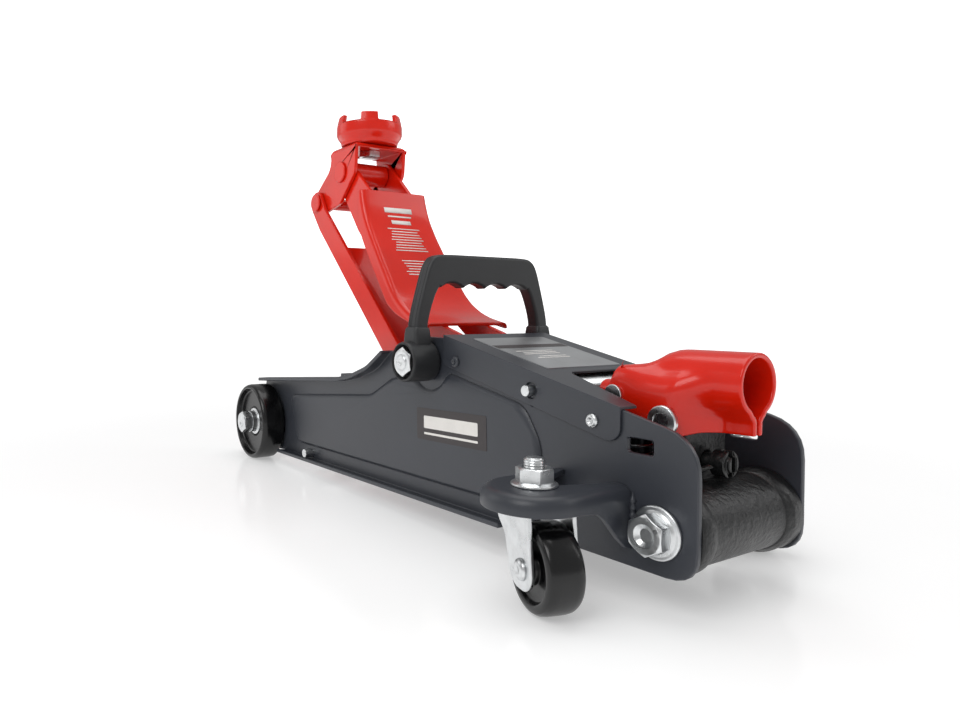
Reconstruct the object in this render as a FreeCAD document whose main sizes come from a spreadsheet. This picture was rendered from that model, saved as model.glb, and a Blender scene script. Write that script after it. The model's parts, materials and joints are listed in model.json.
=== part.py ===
import FreeCAD, Part
import math
import os
import Sketcher
from FreeCAD import Placement, Rotation, Vector

# Low profile floor jack, standing on its wheels with the arm raised.
# Millimetres. Lengths along the jack are first measured back from the front axle,
# and every finished piece is then moved forward so that X = 0 is the middle of the
# jack. Z = 0 is the floor, -Y is the jack's left side, +X is the handle end.

os.makedirs("parts", exist_ok=True)
doc = FreeCAD.newDocument("FloorJack")
sheet = doc.addObject("Spreadsheet::Sheet", "Sizes")

SIZES = [
    ("wheel_radius", 34.1, "front wheel radius"),
    ("wheel_gap", 2.0, "gap between a side plate and a front wheel"),
    ("wheel_width", 20.6, "front wheel width"),
    ("wheel_hub", 13.4, "width of a front wheel's hub"),
    ("axle_radius", 8.0, "front axle radius"),
    ("rear_edge", 430.5, "rear edge of the side plates behind the front axle"),
    ("frame_half", 42.6, "outer face of a side plate from the middle"),
    ("plate_thick", 3.0, "side plate thickness"),
    ("flange_width", 8.4, "how far a side plate's flanges stand out"),
    ("panel_rise", 2.0, "how far the pressed panel stands out"),
    ("cover_thick", 1.5, "cover plate thickness"),
    ("cover_skirt", 17.0, "depth of the cover's skirts"),
    ("pivot_back", 245.4, "main pivot behind the front axle"),
    ("pivot_height", 103.8, "main pivot above the floor"),
    ("pivot_radius", 8.0, "main pivot shaft radius"),
    ("arm_length", 206.8, "main pivot to saddle bracket pin"),
    ("arm_angle", 45.3, "raised arm above the level, degrees"),
    ("arm_inner", 17.5, "inner face of an arm wall from the middle"),
    ("arm_wall", 3.5, "arm wall thickness"),
    ("arm_plate", 2.5, "arm top plate thickness"),
    ("arm_plate_low", 35.8, "half width of the arm plate at its pivot end"),
    ("arm_plate_high", 31.9, "half width of the arm plate at its saddle end"),
    ("crank_radius", 7.0, "push roller radius"),
    ("crank_pin", 4.5, "push roller pin radius"),
    ("link_back", 33.9, "link pins ahead of the arm's pins"),
    ("link_drop", 21.2, "link pins below the arm's pins"),
    ("link_inner", 25.0, "inner face of a link bar from the middle"),
    ("link_thick", 3.5, "link bar thickness"),
    ("link_pin", 5.0, "link pin radius"),
    ("bracket_inner", 21.5, "inner face of a saddle bracket cheek"),
    ("bracket_thick", 3.0, "saddle bracket thickness"),
    ("bracket_pin", 6.0, "saddle bracket pin radius"),
    ("saddle_radius", 27.3, "saddle radius"),
    ("saddle_height", 24.0, "saddle height with its teeth"),
    ("saddle_stud", 6.0, "saddle bolt radius"),
    ("ram_height", 61.0, "ram axis above the floor"),
    ("ram_radius", 9.0, "piston rod radius"),
    ("tube_radius", 14.0, "ram cylinder outer radius"),
    ("tank_radius", 24.0, "oil reservoir outer radius"),
    ("tank_wall", 3.0, "oil reservoir wall"),
    ("block_half", 24.0, "half width of the power unit's base"),
    ("cross_radius", 18.5, "radius of the casting's cross tube"),
    ("bolt_back", 411.5, "rear bolts behind the front axle"),
    ("bolt_height", 37.0, "rear bolts above the floor"),
    ("bolt_radius", 6.0, "rear bolt shank radius"),
    ("hex_flats", 17.0, "size across the flats of the large nuts and bolts"),
    ("socket_back", 399.5, "handle socket pivot behind the front axle"),
    ("socket_height", 83.5, "handle socket pivot above the floor"),
    ("socket_half", 22.0, "outer face of a socket cheek from the middle"),
    ("socket_wall", 2.5, "handle socket wall"),
    ("socket_tube", 14.6, "handle socket tube outer radius"),
    ("socket_axis", 102.2, "handle socket tube axis above the floor"),
    ("socket_pin", 5.0, "handle socket pivot pin radius"),
    ("pump_radius", 5.0, "pump plunger radius"),
    ("stem_back", 373.4, "caster stems behind the front axle"),
    ("stem_out", 37.2, "caster stem outside the side plate"),
    ("stem_radius", 5.0, "caster stem radius"),
    ("dome_radius", 24.8, "outer radius of a caster bracket"),
    ("dome_top", 55.0, "top of a caster bracket above the floor"),
    ("caster_radius", 20.6, "caster wheel radius"),
    ("caster_width", 18.0, "caster wheel width"),
    ("caster_trail", 11.0, "caster axle behind its stem"),
    ("caster_turn", 17.0, "how far the casters stand turned outwards, degrees"),
    ("grip_thick", 10.5, "carry handle thickness along the jack"),
    ("grip_top", 68.4, "top of the carry handle above its pivot"),
    ("boss_radius", 12.8, "carry handle boss radius"),
    ("running", 0.05, "radial clearance of a turning or sliding fit"),
    ("side_gap", 0.5, "clearance between faces that move past each other"),
]
for row, (alias, value, meaning) in enumerate(SIZES, start=1):
    sheet.set("A%d" % row, meaning)
    sheet.set("B%d" % row, str(value))
    sheet.setAlias("B%d" % row, alias)
doc.recompute()


def size(alias):
    """The value that the sheet holds under an alias."""
    return float(sheet.get(alias))


# ---------------------------------------------------------------- places
AXLE = Vector(0, 0, size("wheel_radius"))
PIVOT = Vector(size("pivot_back"), 0, size("pivot_height"))
ARM_TURN = math.radians(size("arm_angle"))
ALONG_ARM = Vector(-math.cos(ARM_TURN), 0, math.sin(ARM_TURN))
ABOVE_ARM = Vector(math.sin(ARM_TURN), 0, math.cos(ARM_TURN))
LINK_STEP = Vector(-size("link_back"), 0, -size("link_drop"))
FRAME_HALF = size("frame_half")
INSIDE = FRAME_HALF - size("plate_thick")
RUN = size("running")
WHEEL_INNER = FRAME_HALF + size("wheel_gap")
WHEEL_HUB = WHEEL_INNER + size("wheel_hub")
REAR_POST = Vector(size("bolt_back"), 0, size("bolt_height"))
ANCHOR = Vector(335.3, 0, 93.2)
TIE = Vector(83.0, 0, 17.0)
SOCKET = Vector(size("socket_back"), 0, size("socket_height"))
NOSE = SOCKET + Vector(-28.5, 0, 10.0)
STEM = Vector(size("stem_back"), -(FRAME_HALF + size("stem_out")), size("dome_top"))
Y_AXIS = Rotation(Vector(1, 0, 0), -90)
X_AXIS = Rotation(Vector(0, 1, 0), 90)
Z_AXIS = Rotation()
ROOF_DROP = 0.23


def on_arm(along, above):
    """A point of the raised arm, from the main pivot, along and square to the arm."""
    return PIVOT + ALONG_ARM * along + ABOVE_ARM * above


def roof(back):
    """Height of the side plates' sloping rear top edge."""
    return 118.9 - ROOF_DROP * (back - 262.6)


def sill(back):
    """Height of the side plates' bottom edge."""
    return 8.2 + 0.022 * (back + 14.0)


PIN_B = on_arm(size("arm_length"), 0)
PIN_C = PIVOT + LINK_STEP
PIN_D = PIN_B + LINK_STEP
CRANK = on_arm(-15.0, -42.4)
MIDDLE = (size("rear_edge") + 1.0 - size("wheel_radius")) / 2

NODES = {}


def node(name, obj):
    """Give a finished piece its name, and move it so that X = 0 is the jack's middle."""
    obj.Label = name
    if obj.TypeId != "Part::Mirroring":
        base = obj.Placement.Base
        moved = Vector(base.x - MIDDLE, base.y, base.z)
        obj.Placement = Placement(moved, obj.Placement.Rotation)
    NODES[name] = obj
    return obj


# ---------------------------------------------------------------- tools
def origin_plane(body, role):
    return next(f for f in body.Origin.OriginFeatures if f.Role == role)


def corner_arc(before, corner, after, radius):
    """Start, middle and end of the arc that rounds one corner."""
    to_before = before - corner
    to_after = after - corner
    room = 0.48 * min(to_before.Length, to_after.Length)
    to_before.normalize()
    to_after.normalize()
    half = to_before.getAngle(to_after) / 2
    if radius <= 0 or half > math.radians(89):
        return None
    setback = min(radius / math.tan(half), room)
    radius = setback * math.tan(half)
    inward = (to_before + to_after).normalize()
    centre = corner + inward * (radius / math.sin(half))
    return corner + to_before * setback, centre - inward * radius, corner + to_after * setback


def rounded(corners):
    """Lines and arcs of a closed outline; each corner is (across, up, radius)."""
    points = [Vector(c[0], c[1], 0) for c in corners]
    arcs = []
    for i, corner in enumerate(points):
        after = points[(i + 1) % len(points)]
        arcs.append(corner_arc(points[i - 1], corner, after, corners[i][2]))
    edges = []
    for i, corner in enumerate(points):
        following = (i + 1) % len(points)
        start = arcs[i][2] if arcs[i] else corner
        end = arcs[following][0] if arcs[following] else points[following]
        if arcs[i]:
            edges.append(Part.Arc(*arcs[i]))
        if start.distanceToPoint(end) > 1e-6:
            edges.append(Part.LineSegment(start, end))
    return edges


def sketched(body, role, corners, holes=()):
    """A sketch with a rounded outline and round holes of (across, up, radius expression)."""
    sketch = body.newObject("Sketcher::SketchObject", body.Name + "Sketch")
    sketch.AttachmentSupport = [(origin_plane(body, role), "")]
    sketch.MapMode = "FlatFace"
    sketch.addGeometry(rounded(corners), False)
    for across, up, radius in holes:
        centre = Vector(across, up, 0)
        hole = sketch.addGeometry(Part.Circle(centre, Vector(0, 0, 1), 1.0), False)
        sketch.addConstraint(Sketcher.Constraint("DistanceX", -1, 1, hole, 3, across))
        sketch.addConstraint(Sketcher.Constraint("DistanceY", -1, 1, hole, 3, up))
        bore = sketch.addConstraint(Sketcher.Constraint("Radius", hole, 1.0))
        sketch.setExpression("Constraints[%d]" % bore, radius)
    return sketch


def padded(name, role, corners, length, start=0.0, holes=()):
    """A flat piece: outline on an origin plane, padded by an expression's length.

    On XZ_Plane the pad runs towards -Y from the face at Y = start, on XY_Plane up from
    Z = start, and on YZ_Plane back from X = start.
    """
    body = doc.addObject("PartDesign::Body", name)
    sketch = sketched(body, role, corners, holes)
    pad = body.newObject("PartDesign::Pad", name + "Pad")
    pad.Profile = sketch
    pad.setExpression("Length", length)
    sketch.Visibility = False
    offset = {"XZ_Plane": Vector(0, start, 0), "XY_Plane": Vector(0, 0, start)}
    body.Placement = Placement(offset.get(role, Vector(start, 0, 0)), Rotation())
    return body


def turned(name, corners, centre, angle=0.0):
    """A turned piece whose axis runs along Y; corners are (radius, y, rounding)."""
    body = doc.addObject("PartDesign::Body", name)
    sketch = sketched(body, "XY_Plane", corners)
    turn = body.newObject("PartDesign::Revolution", name + "Turn")
    turn.Profile = sketch
    turn.ReferenceAxis = (sketch, ["V_Axis"])
    turn.Angle = 360.0
    body.Placement = Placement(centre, Rotation(Vector(0, 0, 1), angle))
    return body


def rod(name, radius, length, start, direction=Y_AXIS):
    """A round bar from its start, with its radius and length as expressions."""
    bar = doc.addObject("Part::Cylinder", name)
    bar.setExpression("Radius", radius)
    bar.setExpression("Height", length)
    bar.Placement = Placement(start, direction)
    return bar


def hexagon(name, flats, length, start, direction=Y_AXIS):
    """A hexagonal bar from its start, with its size across flats as an expression."""
    bar = doc.addObject("Part::Prism", name)
    bar.Polygon = 6
    bar.setExpression("Circumradius", "(%s) / sqrt(3)" % flats)
    bar.setExpression("Height", length)
    bar.Placement = Placement(start, direction)
    return bar


def slab(name, low, high):
    """A box between two corners."""
    box = doc.addObject("Part::Box", name)
    box.Length = high.x - low.x
    box.Width = high.y - low.y
    box.Height = high.z - low.z
    box.Placement = Placement(low, Rotation())
    return box


def fused(name, *pieces):
    obj = doc.addObject("Part::MultiFuse", name)
    obj.Shapes = list(pieces)
    return obj


def cut(name, base, *tools):
    obj = doc.addObject("Part::Cut", name)
    obj.Base = base
    obj.Tool = tools[0] if len(tools) == 1 else fused(name + "Tools", *tools)
    return obj


def shared(name, first, second):
    obj = doc.addObject("Part::Common", name)
    obj.Base = first
    obj.Tool = second
    return obj


def together(name, *pieces):
    """Separate solids that are one node, such as a pair of nuts."""
    obj = doc.addObject("Part::Compound", name)
    obj.Links = list(pieces)
    return obj


def mirrored(name, source):
    """The same piece on the jack's other side."""
    obj = doc.addObject("Part::Mirroring", name)
    obj.Source = source
    obj.Normal = Vector(0, 1, 0)
    return obj


def both_sides(name, make):
    """One piece on the left, made by a function, and its mirror image, as one node."""
    left = make(name + "Left")
    return together(name, left, mirrored(name + "Right", left))


def at(place, y):
    return Vector(place.x, y, place.z)


def ribbon(points, thick, rounding):
    """Outline of a bent strip whose top face follows the points."""
    top = [(x, z, rounding) for x, z in points]
    under = [(x, z - thick, rounding) for x, z in reversed(points)]
    for strip in (top, under):
        strip[0] = strip[0][:2] + (0,)
        strip[-1] = strip[-1][:2] + (0,)
    return top + under


# ---------------------------------------------------------------- frame
FRONT_LINE = [(-11.0, 73.2), (137.0, 85.0), (156.7, 88.6), (180.0, 96.4), (199.5, 108.6)]


def side_plate():
    """Pressed side plate with its flanges, raised panel and bores."""
    rear = size("rear_edge")
    outline = [(-14.0, sill(-14.0), 14), (rear, sill(rear), 14), (rear, roof(rear), 20),
               (262.6, roof(262.6), 10), (240.0, 119.3, 8), (199.5, 108.6, 30),
               (180.0, 96.4, 40), (156.7, 88.6, 40), (137.0, 85.0, 20), (0.0, 74.1, 8),
               (-14.0, 54.0, 10)]
    bores = [(AXLE.x, AXLE.z, "Sizes.axle_radius + Sizes.running"),
             (PIVOT.x, PIVOT.z, "Sizes.pivot_radius + Sizes.running"),
             (PIN_C.x, PIN_C.z, "Sizes.link_pin + Sizes.running"),
             (TIE.x, TIE.z, "3.5 + Sizes.running"),
             (ANCHOR.x, ANCHOR.z, "3 + Sizes.running"),
             (REAR_POST.x, REAR_POST.z, "Sizes.bolt_radius + Sizes.running")]
    bores += [(x, z, "2 + Sizes.running") for x, z in COVER_SCREWS]
    sheet_metal = padded("SidePlate", "XZ_Plane", outline, "Sizes.plate_thick", -INSIDE,
                         bores)
    top = padded("TopFlange", "XZ_Plane", ribbon(FRONT_LINE, 3.0, 40),
                 "Sizes.flange_width", -FRAME_HALF)
    sill_line = [(30.0, sill(30.0) + 3.0), (318.0, sill(318.0) + 3.0)]
    bottom = padded("BottomFlange", "XZ_Plane", ribbon(sill_line, 3.0, 0),
                    "Sizes.flange_width", -FRAME_HALF)
    pressing = [(42.0, 61.5, 8), (176.0, 74.5, 25), (202.0, 88.0, 20), (228.0, 93.5, 20),
                (262.0, 97.3, 10), (329.0, 84.0, 16), (343.5, 62.0, 25), (336.0, 29.0, 12),
                (57.0, 23.0, 12)]
    panel = padded("Panel", "XZ_Plane", pressing, "Sizes.panel_rise", -FRAME_HALF)
    land = rod("PivotLand", "19", "10", at(PIVOT, -FRAME_HALF - 9.9))
    tie_land = rod("TieLand", "6", "10", at(TIE, -FRAME_HALF - 9.9))
    pressed = cut("PressedPanel", panel, land, tie_land)
    window = slab("Window", Vector(394.8, -FRAME_HALF - 1, 70.3),
                  Vector(408.8, -INSIDE + 1, 77.3))
    through = rod("LinkBoreThrough", "Sizes.link_pin + Sizes.running", "20",
                  at(PIN_C, -FRAME_HALF - 10))
    whole = fused("PlateWithFlanges", sheet_metal, top, bottom, pressed)
    return cut("SidePlateLeft", whole, window, through)


COVER_SCREWS = [(272.8, 104.8), (376.2, 82.4)]
left_plate = node("left_side_plate", side_plate())
node("right_side_plate", mirrored("SidePlateRight", left_plate))


def cover():
    """Cover over the power unit: a sloping top with two skirts and a slot for the socket."""
    thick = size("cover_thick")
    front = 260.5
    back = 392.0
    skirt_outer = FRAME_HALF + thick
    lift = 0.1
    line = [(front, roof(front) + thick + lift), (back, roof(back) + thick + lift)]
    top = padded("CoverTop", "XZ_Plane", ribbon(line, thick, 0),
                 "2 * (Sizes.frame_half + Sizes.cover_thick)", skirt_outer)
    depth = size("cover_skirt")
    side = [(front, roof(front) + thick + lift, 0), (front, roof(front) - depth, 3),
            (back, roof(back) - depth, 13), (back, roof(back) + thick + lift, 0)]
    screws = [(x, z, "2 + Sizes.running") for x, z in COVER_SCREWS]
    screws.append((ANCHOR.x, ANCHOR.z, "4.5"))
    skirt = padded("CoverSkirt", "XZ_Plane", side, "Sizes.cover_thick", -FRAME_HALF, screws)
    other = mirrored("CoverSkirtRight", skirt)
    notch = [(340.0, -20.5, 6), (back + 5, -33.0, 0), (back + 5, 33.0, 0), (340.0, 20.5, 6)]
    slot = padded("CoverSlot", "XY_Plane", notch, "80", 60.0)
    return cut("Cover", fused("CoverShell", top, skirt, other), slot)


def cover_label():
    """Blank foil label that lies on the cover."""
    thick = size("cover_thick") + 0.1
    line = [(272.0, roof(272.0) + thick + 0.4), (334.0, roof(334.0) + thick + 0.4)]
    return padded("CoverLabel", "XZ_Plane", ribbon(line, 0.4, 0), "60", 30.0)


def cover_screw(name):
    """Two dome headed screws of the cover's left skirt."""
    outer = -(FRAME_HALF + size("cover_thick"))
    pieces = []
    for i, (x, z) in enumerate(COVER_SCREWS):
        place = Vector(x, outer, z)
        shank = rod("%sShank%d" % (name, i), "2", "6", place)
        head = rod("%sHead%d" % (name, i), "3.4", "1.8", place - Vector(0, 1.8, 0))
        pieces.append(fused("%sScrew%d" % (name, i), shank, head))
    return together(name + "Pair", *pieces)


node("cover_plate", cover())
node("cover_label", cover_label())
node("cover_screws", both_sides("CoverScrews", cover_screw))


def front_axle():
    return rod("FrontAxle", "Sizes.axle_radius", str(2 * (WHEEL_HUB + 8)),
               at(AXLE, -WHEEL_HUB - 8))


def axle_nut(name):
    """Washer, sleeve and hexagon head outside a front wheel's hub."""
    hub = WHEEL_HUB + 0.3
    washer = rod(name + "Washer", "12", "1.6", at(AXLE, -hub - 1.6))
    head = hexagon(name + "Head", "Sizes.hex_flats", "7", at(AXLE, -hub - 14.7))
    collar = rod(name + "Collar", "9.6", "6.1", at(AXLE, -hub - 7.7))
    bore = rod(name + "Bore", "Sizes.axle_radius", "40", at(AXLE, -WHEEL_HUB - 8))
    return cut(name + "Whole", fused(name + "Solid", washer, collar, head), bore)


def front_wheel():
    """Left front wheel: deep dished outside, hollow inside, on a plain bore."""
    radius = size("wheel_radius")
    inner = -WHEEL_INNER
    outer = inner - size("wheel_width")
    hub = -WHEEL_HUB
    bore = size("axle_radius") + RUN
    section = [(bore, inner, 0), (15.0, inner, 1), (15.0, inner - 6.0, 2),
               (26.5, inner - 6.0, 2), (27.5, inner, 1), (radius - 1.0, inner, 2),
               (radius, inner - 5.0, 2), (radius, outer + 4.0, 2.5),
               (radius - 2.0, outer, 1.5), (30.0, outer, 1), (28.6, hub + 1.5, 2),
               (13.5, hub + 1.5, 2), (12.5, hub, 0.6), (bore, hub, 0)]
    return turned("FrontWheel", section, at(AXLE, 0))


def tie_rod(name, place, radius, stand_out):
    """Cross rod with a shoulder head outside each side plate."""
    reach = "2 * (Sizes.frame_half + %s)" % stand_out
    return rod(name, radius, reach, at(place, -FRAME_HALF - stand_out))


node("front_axle", front_axle())
node("front_axle_nuts", both_sides("AxleNuts", axle_nut))
left_wheel = node("front_wheel_left", front_wheel())
node("front_wheel_right", mirrored("FrontWheelRight", left_wheel))
node("front_tie_rod", tie_rod("TieRod", TIE, "3.5", 8.0))
node("spring_anchor_rod", tie_rod("AnchorRod", ANCHOR, "3", 6.0))
sleeve = rod("AnchorSleeve", "7", "44", at(ANCHOR, -22.0))
sleeve_bore = rod("AnchorSleeveBore", "3 + Sizes.running", "50", at(ANCHOR, -25.0))
node("spring_anchor_sleeve", cut("AnchorTube", sleeve, sleeve_bore))


# ---------------------------------------------------------------- main pivot and handle
BOSS_INNER = FRAME_HALF + 1.0
BOSS_OUTER = FRAME_HALF + 22.1


def pivot_nut(name):
    """Nut and washer in the recess of a carry handle boss."""
    seat = BOSS_INNER + 13.3
    washer = rod(name + "Washer", "10", "1.2", at(PIVOT, -seat - 1.2))
    nut = hexagon(name + "Nut", "Sizes.hex_flats", "6.5", at(PIVOT, -seat - 7.7))
    bore = rod(name + "Bore", "Sizes.pivot_radius", "20", at(PIVOT, -seat - 10))
    return cut(name + "Whole", fused(name + "Solid", washer, nut), bore)


def pivot_spacer(name):
    """Spacer tube on the shaft between an arm wall and a side plate."""
    start = size("arm_inner") + size("arm_wall") + size("side_gap")
    length = INSIDE - start
    tube = rod(name + "Tube", "12", str(length), at(PIVOT, -INSIDE))
    bore = rod(name + "Bore", "Sizes.pivot_radius + Sizes.running", str(length + 10),
               at(PIVOT, -INSIDE - 5))
    return cut(name + "Whole", tube, bore)


def carry_handle():
    """Plastic carry handle: two leaning legs, a grip with finger scallops, two bosses."""
    base = PIVOT.z
    top = base + size("grip_top")
    under = top - 22.0
    half = FRAME_HALF + 15.4
    right = [(half, base + 10, 3), (half - 0.5, base + 26, 14), (FRAME_HALF + 3.6, top - 4, 12),
             (FRAME_HALF - 8, top, 10)]
    inner = [(FRAME_HALF - 5.5, under - 3, 8), (half - 10.0, base + 26, 14),
             (half - 10.0, base + 10, 3)]
    cusps = [(33.0, under + 2.5, 4), (25.0, under + 3.2, 4), (18.5, under, 3),
             (12.0, under + 3.4, 4), (6.5, under + 3.4, 4)]
    underside = cusps + [(0.0, under, 3)] + [(-y, z, r) for y, z, r in reversed(cusps)]
    outline = right[:]
    outline += [(-y, z, r) for y, z, r in reversed(right)]
    outline += [(-y, z, r) for y, z, r in reversed(inner)]
    outline += [(-y, z, r) for y, z, r in underside]
    outline += inner
    thick = size("grip_thick")
    arch = padded("HandleArch", "YZ_Plane", outline, "Sizes.grip_thick", PIVOT.x - thick / 2)
    boss = rod("HandleBoss", "Sizes.boss_radius", "21.1", at(PIVOT, -BOSS_OUTER))
    foot = slab("HandleFoot", Vector(PIVOT.x - 5.2, -half, base + 6),
                Vector(PIVOT.x + 5.2, -(half - 10), base + 14))
    bosses = fused("HandleLeft", boss, foot)
    recess = rod("HandleRecess", "10.6", "8.3", at(PIVOT, -BOSS_OUTER - 0.1))
    bore = rod("HandleBore", "Sizes.pivot_radius + Sizes.running", "40",
               at(PIVOT, -BOSS_OUTER - 10))
    hollow = fused("HandleHollow", recess, bore)
    solid = fused("HandleSolid", arch, bosses, mirrored("HandleRight", bosses))
    return cut("CarryHandle", solid, hollow, mirrored("HandleHollowRight", hollow))


shaft_reach = BOSS_OUTER - 2.0
node("main_pivot_shaft", rod("PivotShaft", "Sizes.pivot_radius", str(2 * shaft_reach),
                             at(PIVOT, -shaft_reach)))
node("main_pivot_nuts", both_sides("PivotNuts", pivot_nut))
node("main_pivot_spacers", both_sides("PivotSpacers", pivot_spacer))
node("carry_handle", carry_handle())


# ---------------------------------------------------------------- lifting arm
PLATE_SHARES = [(0.130, 7.2), (0.234, -4.3), (0.347, -7.5), (0.415, -4.0),
                (0.520, -1.9), (0.683, 4.9), (0.780, 15.3)]
PLATE_LINE = [(share * size("arm_length"), above) for share, above in PLATE_SHARES]


def arm_corners(points):
    """World outline of arm points given as (along, above, rounding)."""
    placed = []
    for along, above, rounding in points:
        point = on_arm(along, above)
        placed.append((point.x, point.z, rounding))
    return placed


def arm_wall():
    """Left arm wall with its crank below the pivot."""
    seat = size("arm_plate")
    reach = size("arm_length")
    points = [(-17.0, 13.0, 12), (10.0, 14.0, 8)]
    points += [(along, above - seat, 12) for along, above in PLATE_LINE]
    points += [(reach - 12.0, 12.0, 10), (reach + 11.0, 11.0, 10.9),
               (reach + 11.0, -11.0, 10.9), (reach - 50.0, -20.0, 30), (60.0, -20.0, 20),
               (30.0, -15.0, 20), (-2.0, -30.0, 15), (-3.5, -53.5, 11), (-26.5, -53.5, 11),
               (-22.0, -20.0, 20)]
    bores = [(PIVOT.x, PIVOT.z, "Sizes.pivot_radius + Sizes.running"),
             (PIN_B.x, PIN_B.z, "Sizes.bracket_pin + Sizes.running"),
             (CRANK.x, CRANK.z, "Sizes.crank_pin + Sizes.running")]
    return padded("ArmWall", "XZ_Plane", arm_corners(points), "Sizes.arm_wall",
                  -size("arm_inner"), bores)


def arm_plate():
    """Waisted top plate of the arm with turned-down side lips."""
    thick = size("arm_plate")
    low = size("arm_plate_low")
    high = size("arm_plate_high")
    top = [(along, above, 12) for along, above in PLATE_LINE]
    under = [(along, above - thick, 12) for along, above in reversed(PLATE_LINE)]
    for strip in (top, under):
        strip[0] = strip[0][:2] + (0,)
        strip[-1] = strip[-1][:2] + (0,)
    sheet_metal = padded("ArmSheet", "XZ_Plane", arm_corners(top + under),
                         "2 * Sizes.arm_plate_low", low)
    start = PLATE_LINE[0][0] - 6
    end = PLATE_LINE[-1][0] + 6
    plan = [(start, -low, 0), (end, -high, 0), (end, high, 0), (start, low, 0)]
    waist = padded("ArmPlan", "XY_Plane", plan, "80", 0)
    across = Vector(0, -1, 0)
    square = Rotation(ALONG_ARM, across, ABOVE_ARM, "ZXY")
    waist.Placement = Placement(PIVOT - ABOVE_ARM * 40, square)
    return shared("ArmPlate", sheet_metal, waist)


left_wall = node("arm_wall_left", arm_wall())
node("arm_wall_right", mirrored("ArmWallRight", left_wall))
node("arm_top_plate", arm_plate())
arm_outer = size("arm_inner") + size("arm_wall")
node("push_pin", rod("PushPin", "Sizes.crank_pin", str(2 * (arm_outer + 2.5)),
                     at(CRANK, -arm_outer - 2.5)))
roller_half = size("arm_inner") - size("side_gap")
roller = rod("PushRoller", "Sizes.crank_radius", str(2 * roller_half), at(CRANK, -roller_half))
roller_bore = rod("PushRollerBore", "Sizes.crank_pin + Sizes.running", "60", at(CRANK, -30))
node("push_roller", cut("PushRollerTube", roller, roller_bore))


# ---------------------------------------------------------------- saddle bracket and link
SADDLE_X = PIN_B.x + 5.4
SEAT_Z = PIN_B.z + 21.3


def saddle_bracket():
    """Inverted U over the end of the arm, level at every height."""
    outer = size("bracket_inner") + size("bracket_thick")
    x = PIN_B.x
    z = PIN_B.z
    cheek = [(x - 16.5, SEAT_Z, 4), (x - 17.0, z + 6, 15), (PIN_D.x - 9, PIN_D.z + 9, 9),
             (PIN_D.x - 9, PIN_D.z - 9, 9), (PIN_D.x + 10, PIN_D.z - 9, 8),
             (x - 2, z - 25.5, 6), (x + 21.7, z - 3, 10), (x + 24.0, SEAT_Z, 4)]
    holes = [(x, z, "Sizes.bracket_pin"), (PIN_D.x, PIN_D.z, "Sizes.link_pin")]
    left = padded("BracketCheek", "XZ_Plane", cheek, "Sizes.bracket_thick",
                  -size("bracket_inner"), holes)
    top = slab("BracketTop", Vector(x - 16.5, -outer, SEAT_Z - size("bracket_thick")),
               Vector(x + 24.0, outer, SEAT_Z))
    bolt = rod("BracketBoltHole", "Sizes.saddle_stud + Sizes.running", "20",
               Vector(SADDLE_X, 0, SEAT_Z - 10), Z_AXIS)
    whole = fused("BracketU", left, mirrored("BracketCheekRight", left), top)
    return cut("SaddleBracket", whole, bolt)


def headed_pin(name, place, radius, half, head_radius, head):
    """A cross pin with a round head at each end."""
    pieces = [rod(name + "Shank", radius, str(2 * half), at(place, -half))]
    for side, y in (("Left", -half - head), ("Right", half)):
        pieces.append(rod(name + side, head_radius, str(head), at(place, y)))
    return fused(name, *pieces)


def saddle():
    """Round saddle with five teeth round its rim, on a bolt."""
    radius = size("saddle_radius")
    height = size("saddle_height")
    base = SEAT_Z + 0.5
    foot = rod("SaddleFoot", "Sizes.saddle_radius - 3.7", "5",
               Vector(SADDLE_X, 0, base), Z_AXIS)
    cup = rod("SaddleCup", "Sizes.saddle_radius", str(height - 3.5),
              Vector(SADDLE_X, 0, base + 3.5), Z_AXIS)
    hollow = rod("SaddleHollow", "Sizes.saddle_radius - 5", str(height),
                 Vector(SADDLE_X, 0, base + 8.5), Z_AXIS)
    gaps = []
    for i in range(5):
        gap = slab("SaddleGap%d" % i, Vector(0, -8.5, 0), Vector(radius + 4, 8.5, height))
        turn = Rotation(Vector(0, 0, 1), 72.0 * i + 3.6)
        gap.Placement = Placement(Vector(SADDLE_X, 0, base + height - 6.5), turn)
        gaps.append(gap)
    bore = rod("SaddleBore", "Sizes.saddle_stud + Sizes.running", "40",
               Vector(SADDLE_X, 0, base - 5), Z_AXIS)
    recess = rod("SaddleRecess", "11.5", "5", Vector(SADDLE_X, 0, base + 5.2), Z_AXIS)
    return cut("Saddle", fused("SaddleSolid", foot, cup), hollow, bore, recess, *gaps)


def saddle_bolt():
    """Saddle bolt: a flat head sunk in the saddle's floor and a nut under the bracket."""
    base = SEAT_Z + 0.5
    under = SEAT_Z - size("bracket_thick")
    shank = rod("SaddleShank", "Sizes.saddle_stud", "15.5",
                Vector(SADDLE_X, 0, under - 6.0), Z_AXIS)
    head = rod("SaddleHead", "11", "2.5", Vector(SADDLE_X, 0, base + 5.5), Z_AXIS)
    nut = hexagon("SaddleNut", "Sizes.hex_flats", "5", Vector(SADDLE_X, 0, under - 5.0), Z_AXIS)
    return fused("SaddleBolt", shank, head, nut)


def link_bar():
    """Left bar of the link that keeps the saddle level."""
    span = size("arm_length")
    points = [(-10.0, -10.0, 9.9), (-10.0, 10.0, 9.9), (14.0, 4.0, 12), (span - 14.0, 4.0, 12),
              (span + 10.0, 10.0, 9.9), (span + 10.0, -10.0, 9.9), (span - 20.0, -14.0, 10),
              (22.0, -14.0, 10)]
    placed = [(x + LINK_STEP.x, z + LINK_STEP.z, r) for x, z, r in arm_corners(points)]
    bores = [(PIN_C.x, PIN_C.z, "Sizes.link_pin + Sizes.running"),
             (PIN_D.x, PIN_D.z, "Sizes.link_pin + Sizes.running")]
    return padded("LinkBar", "XZ_Plane", placed, "Sizes.link_thick",
                  -size("link_inner"), bores)


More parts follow.
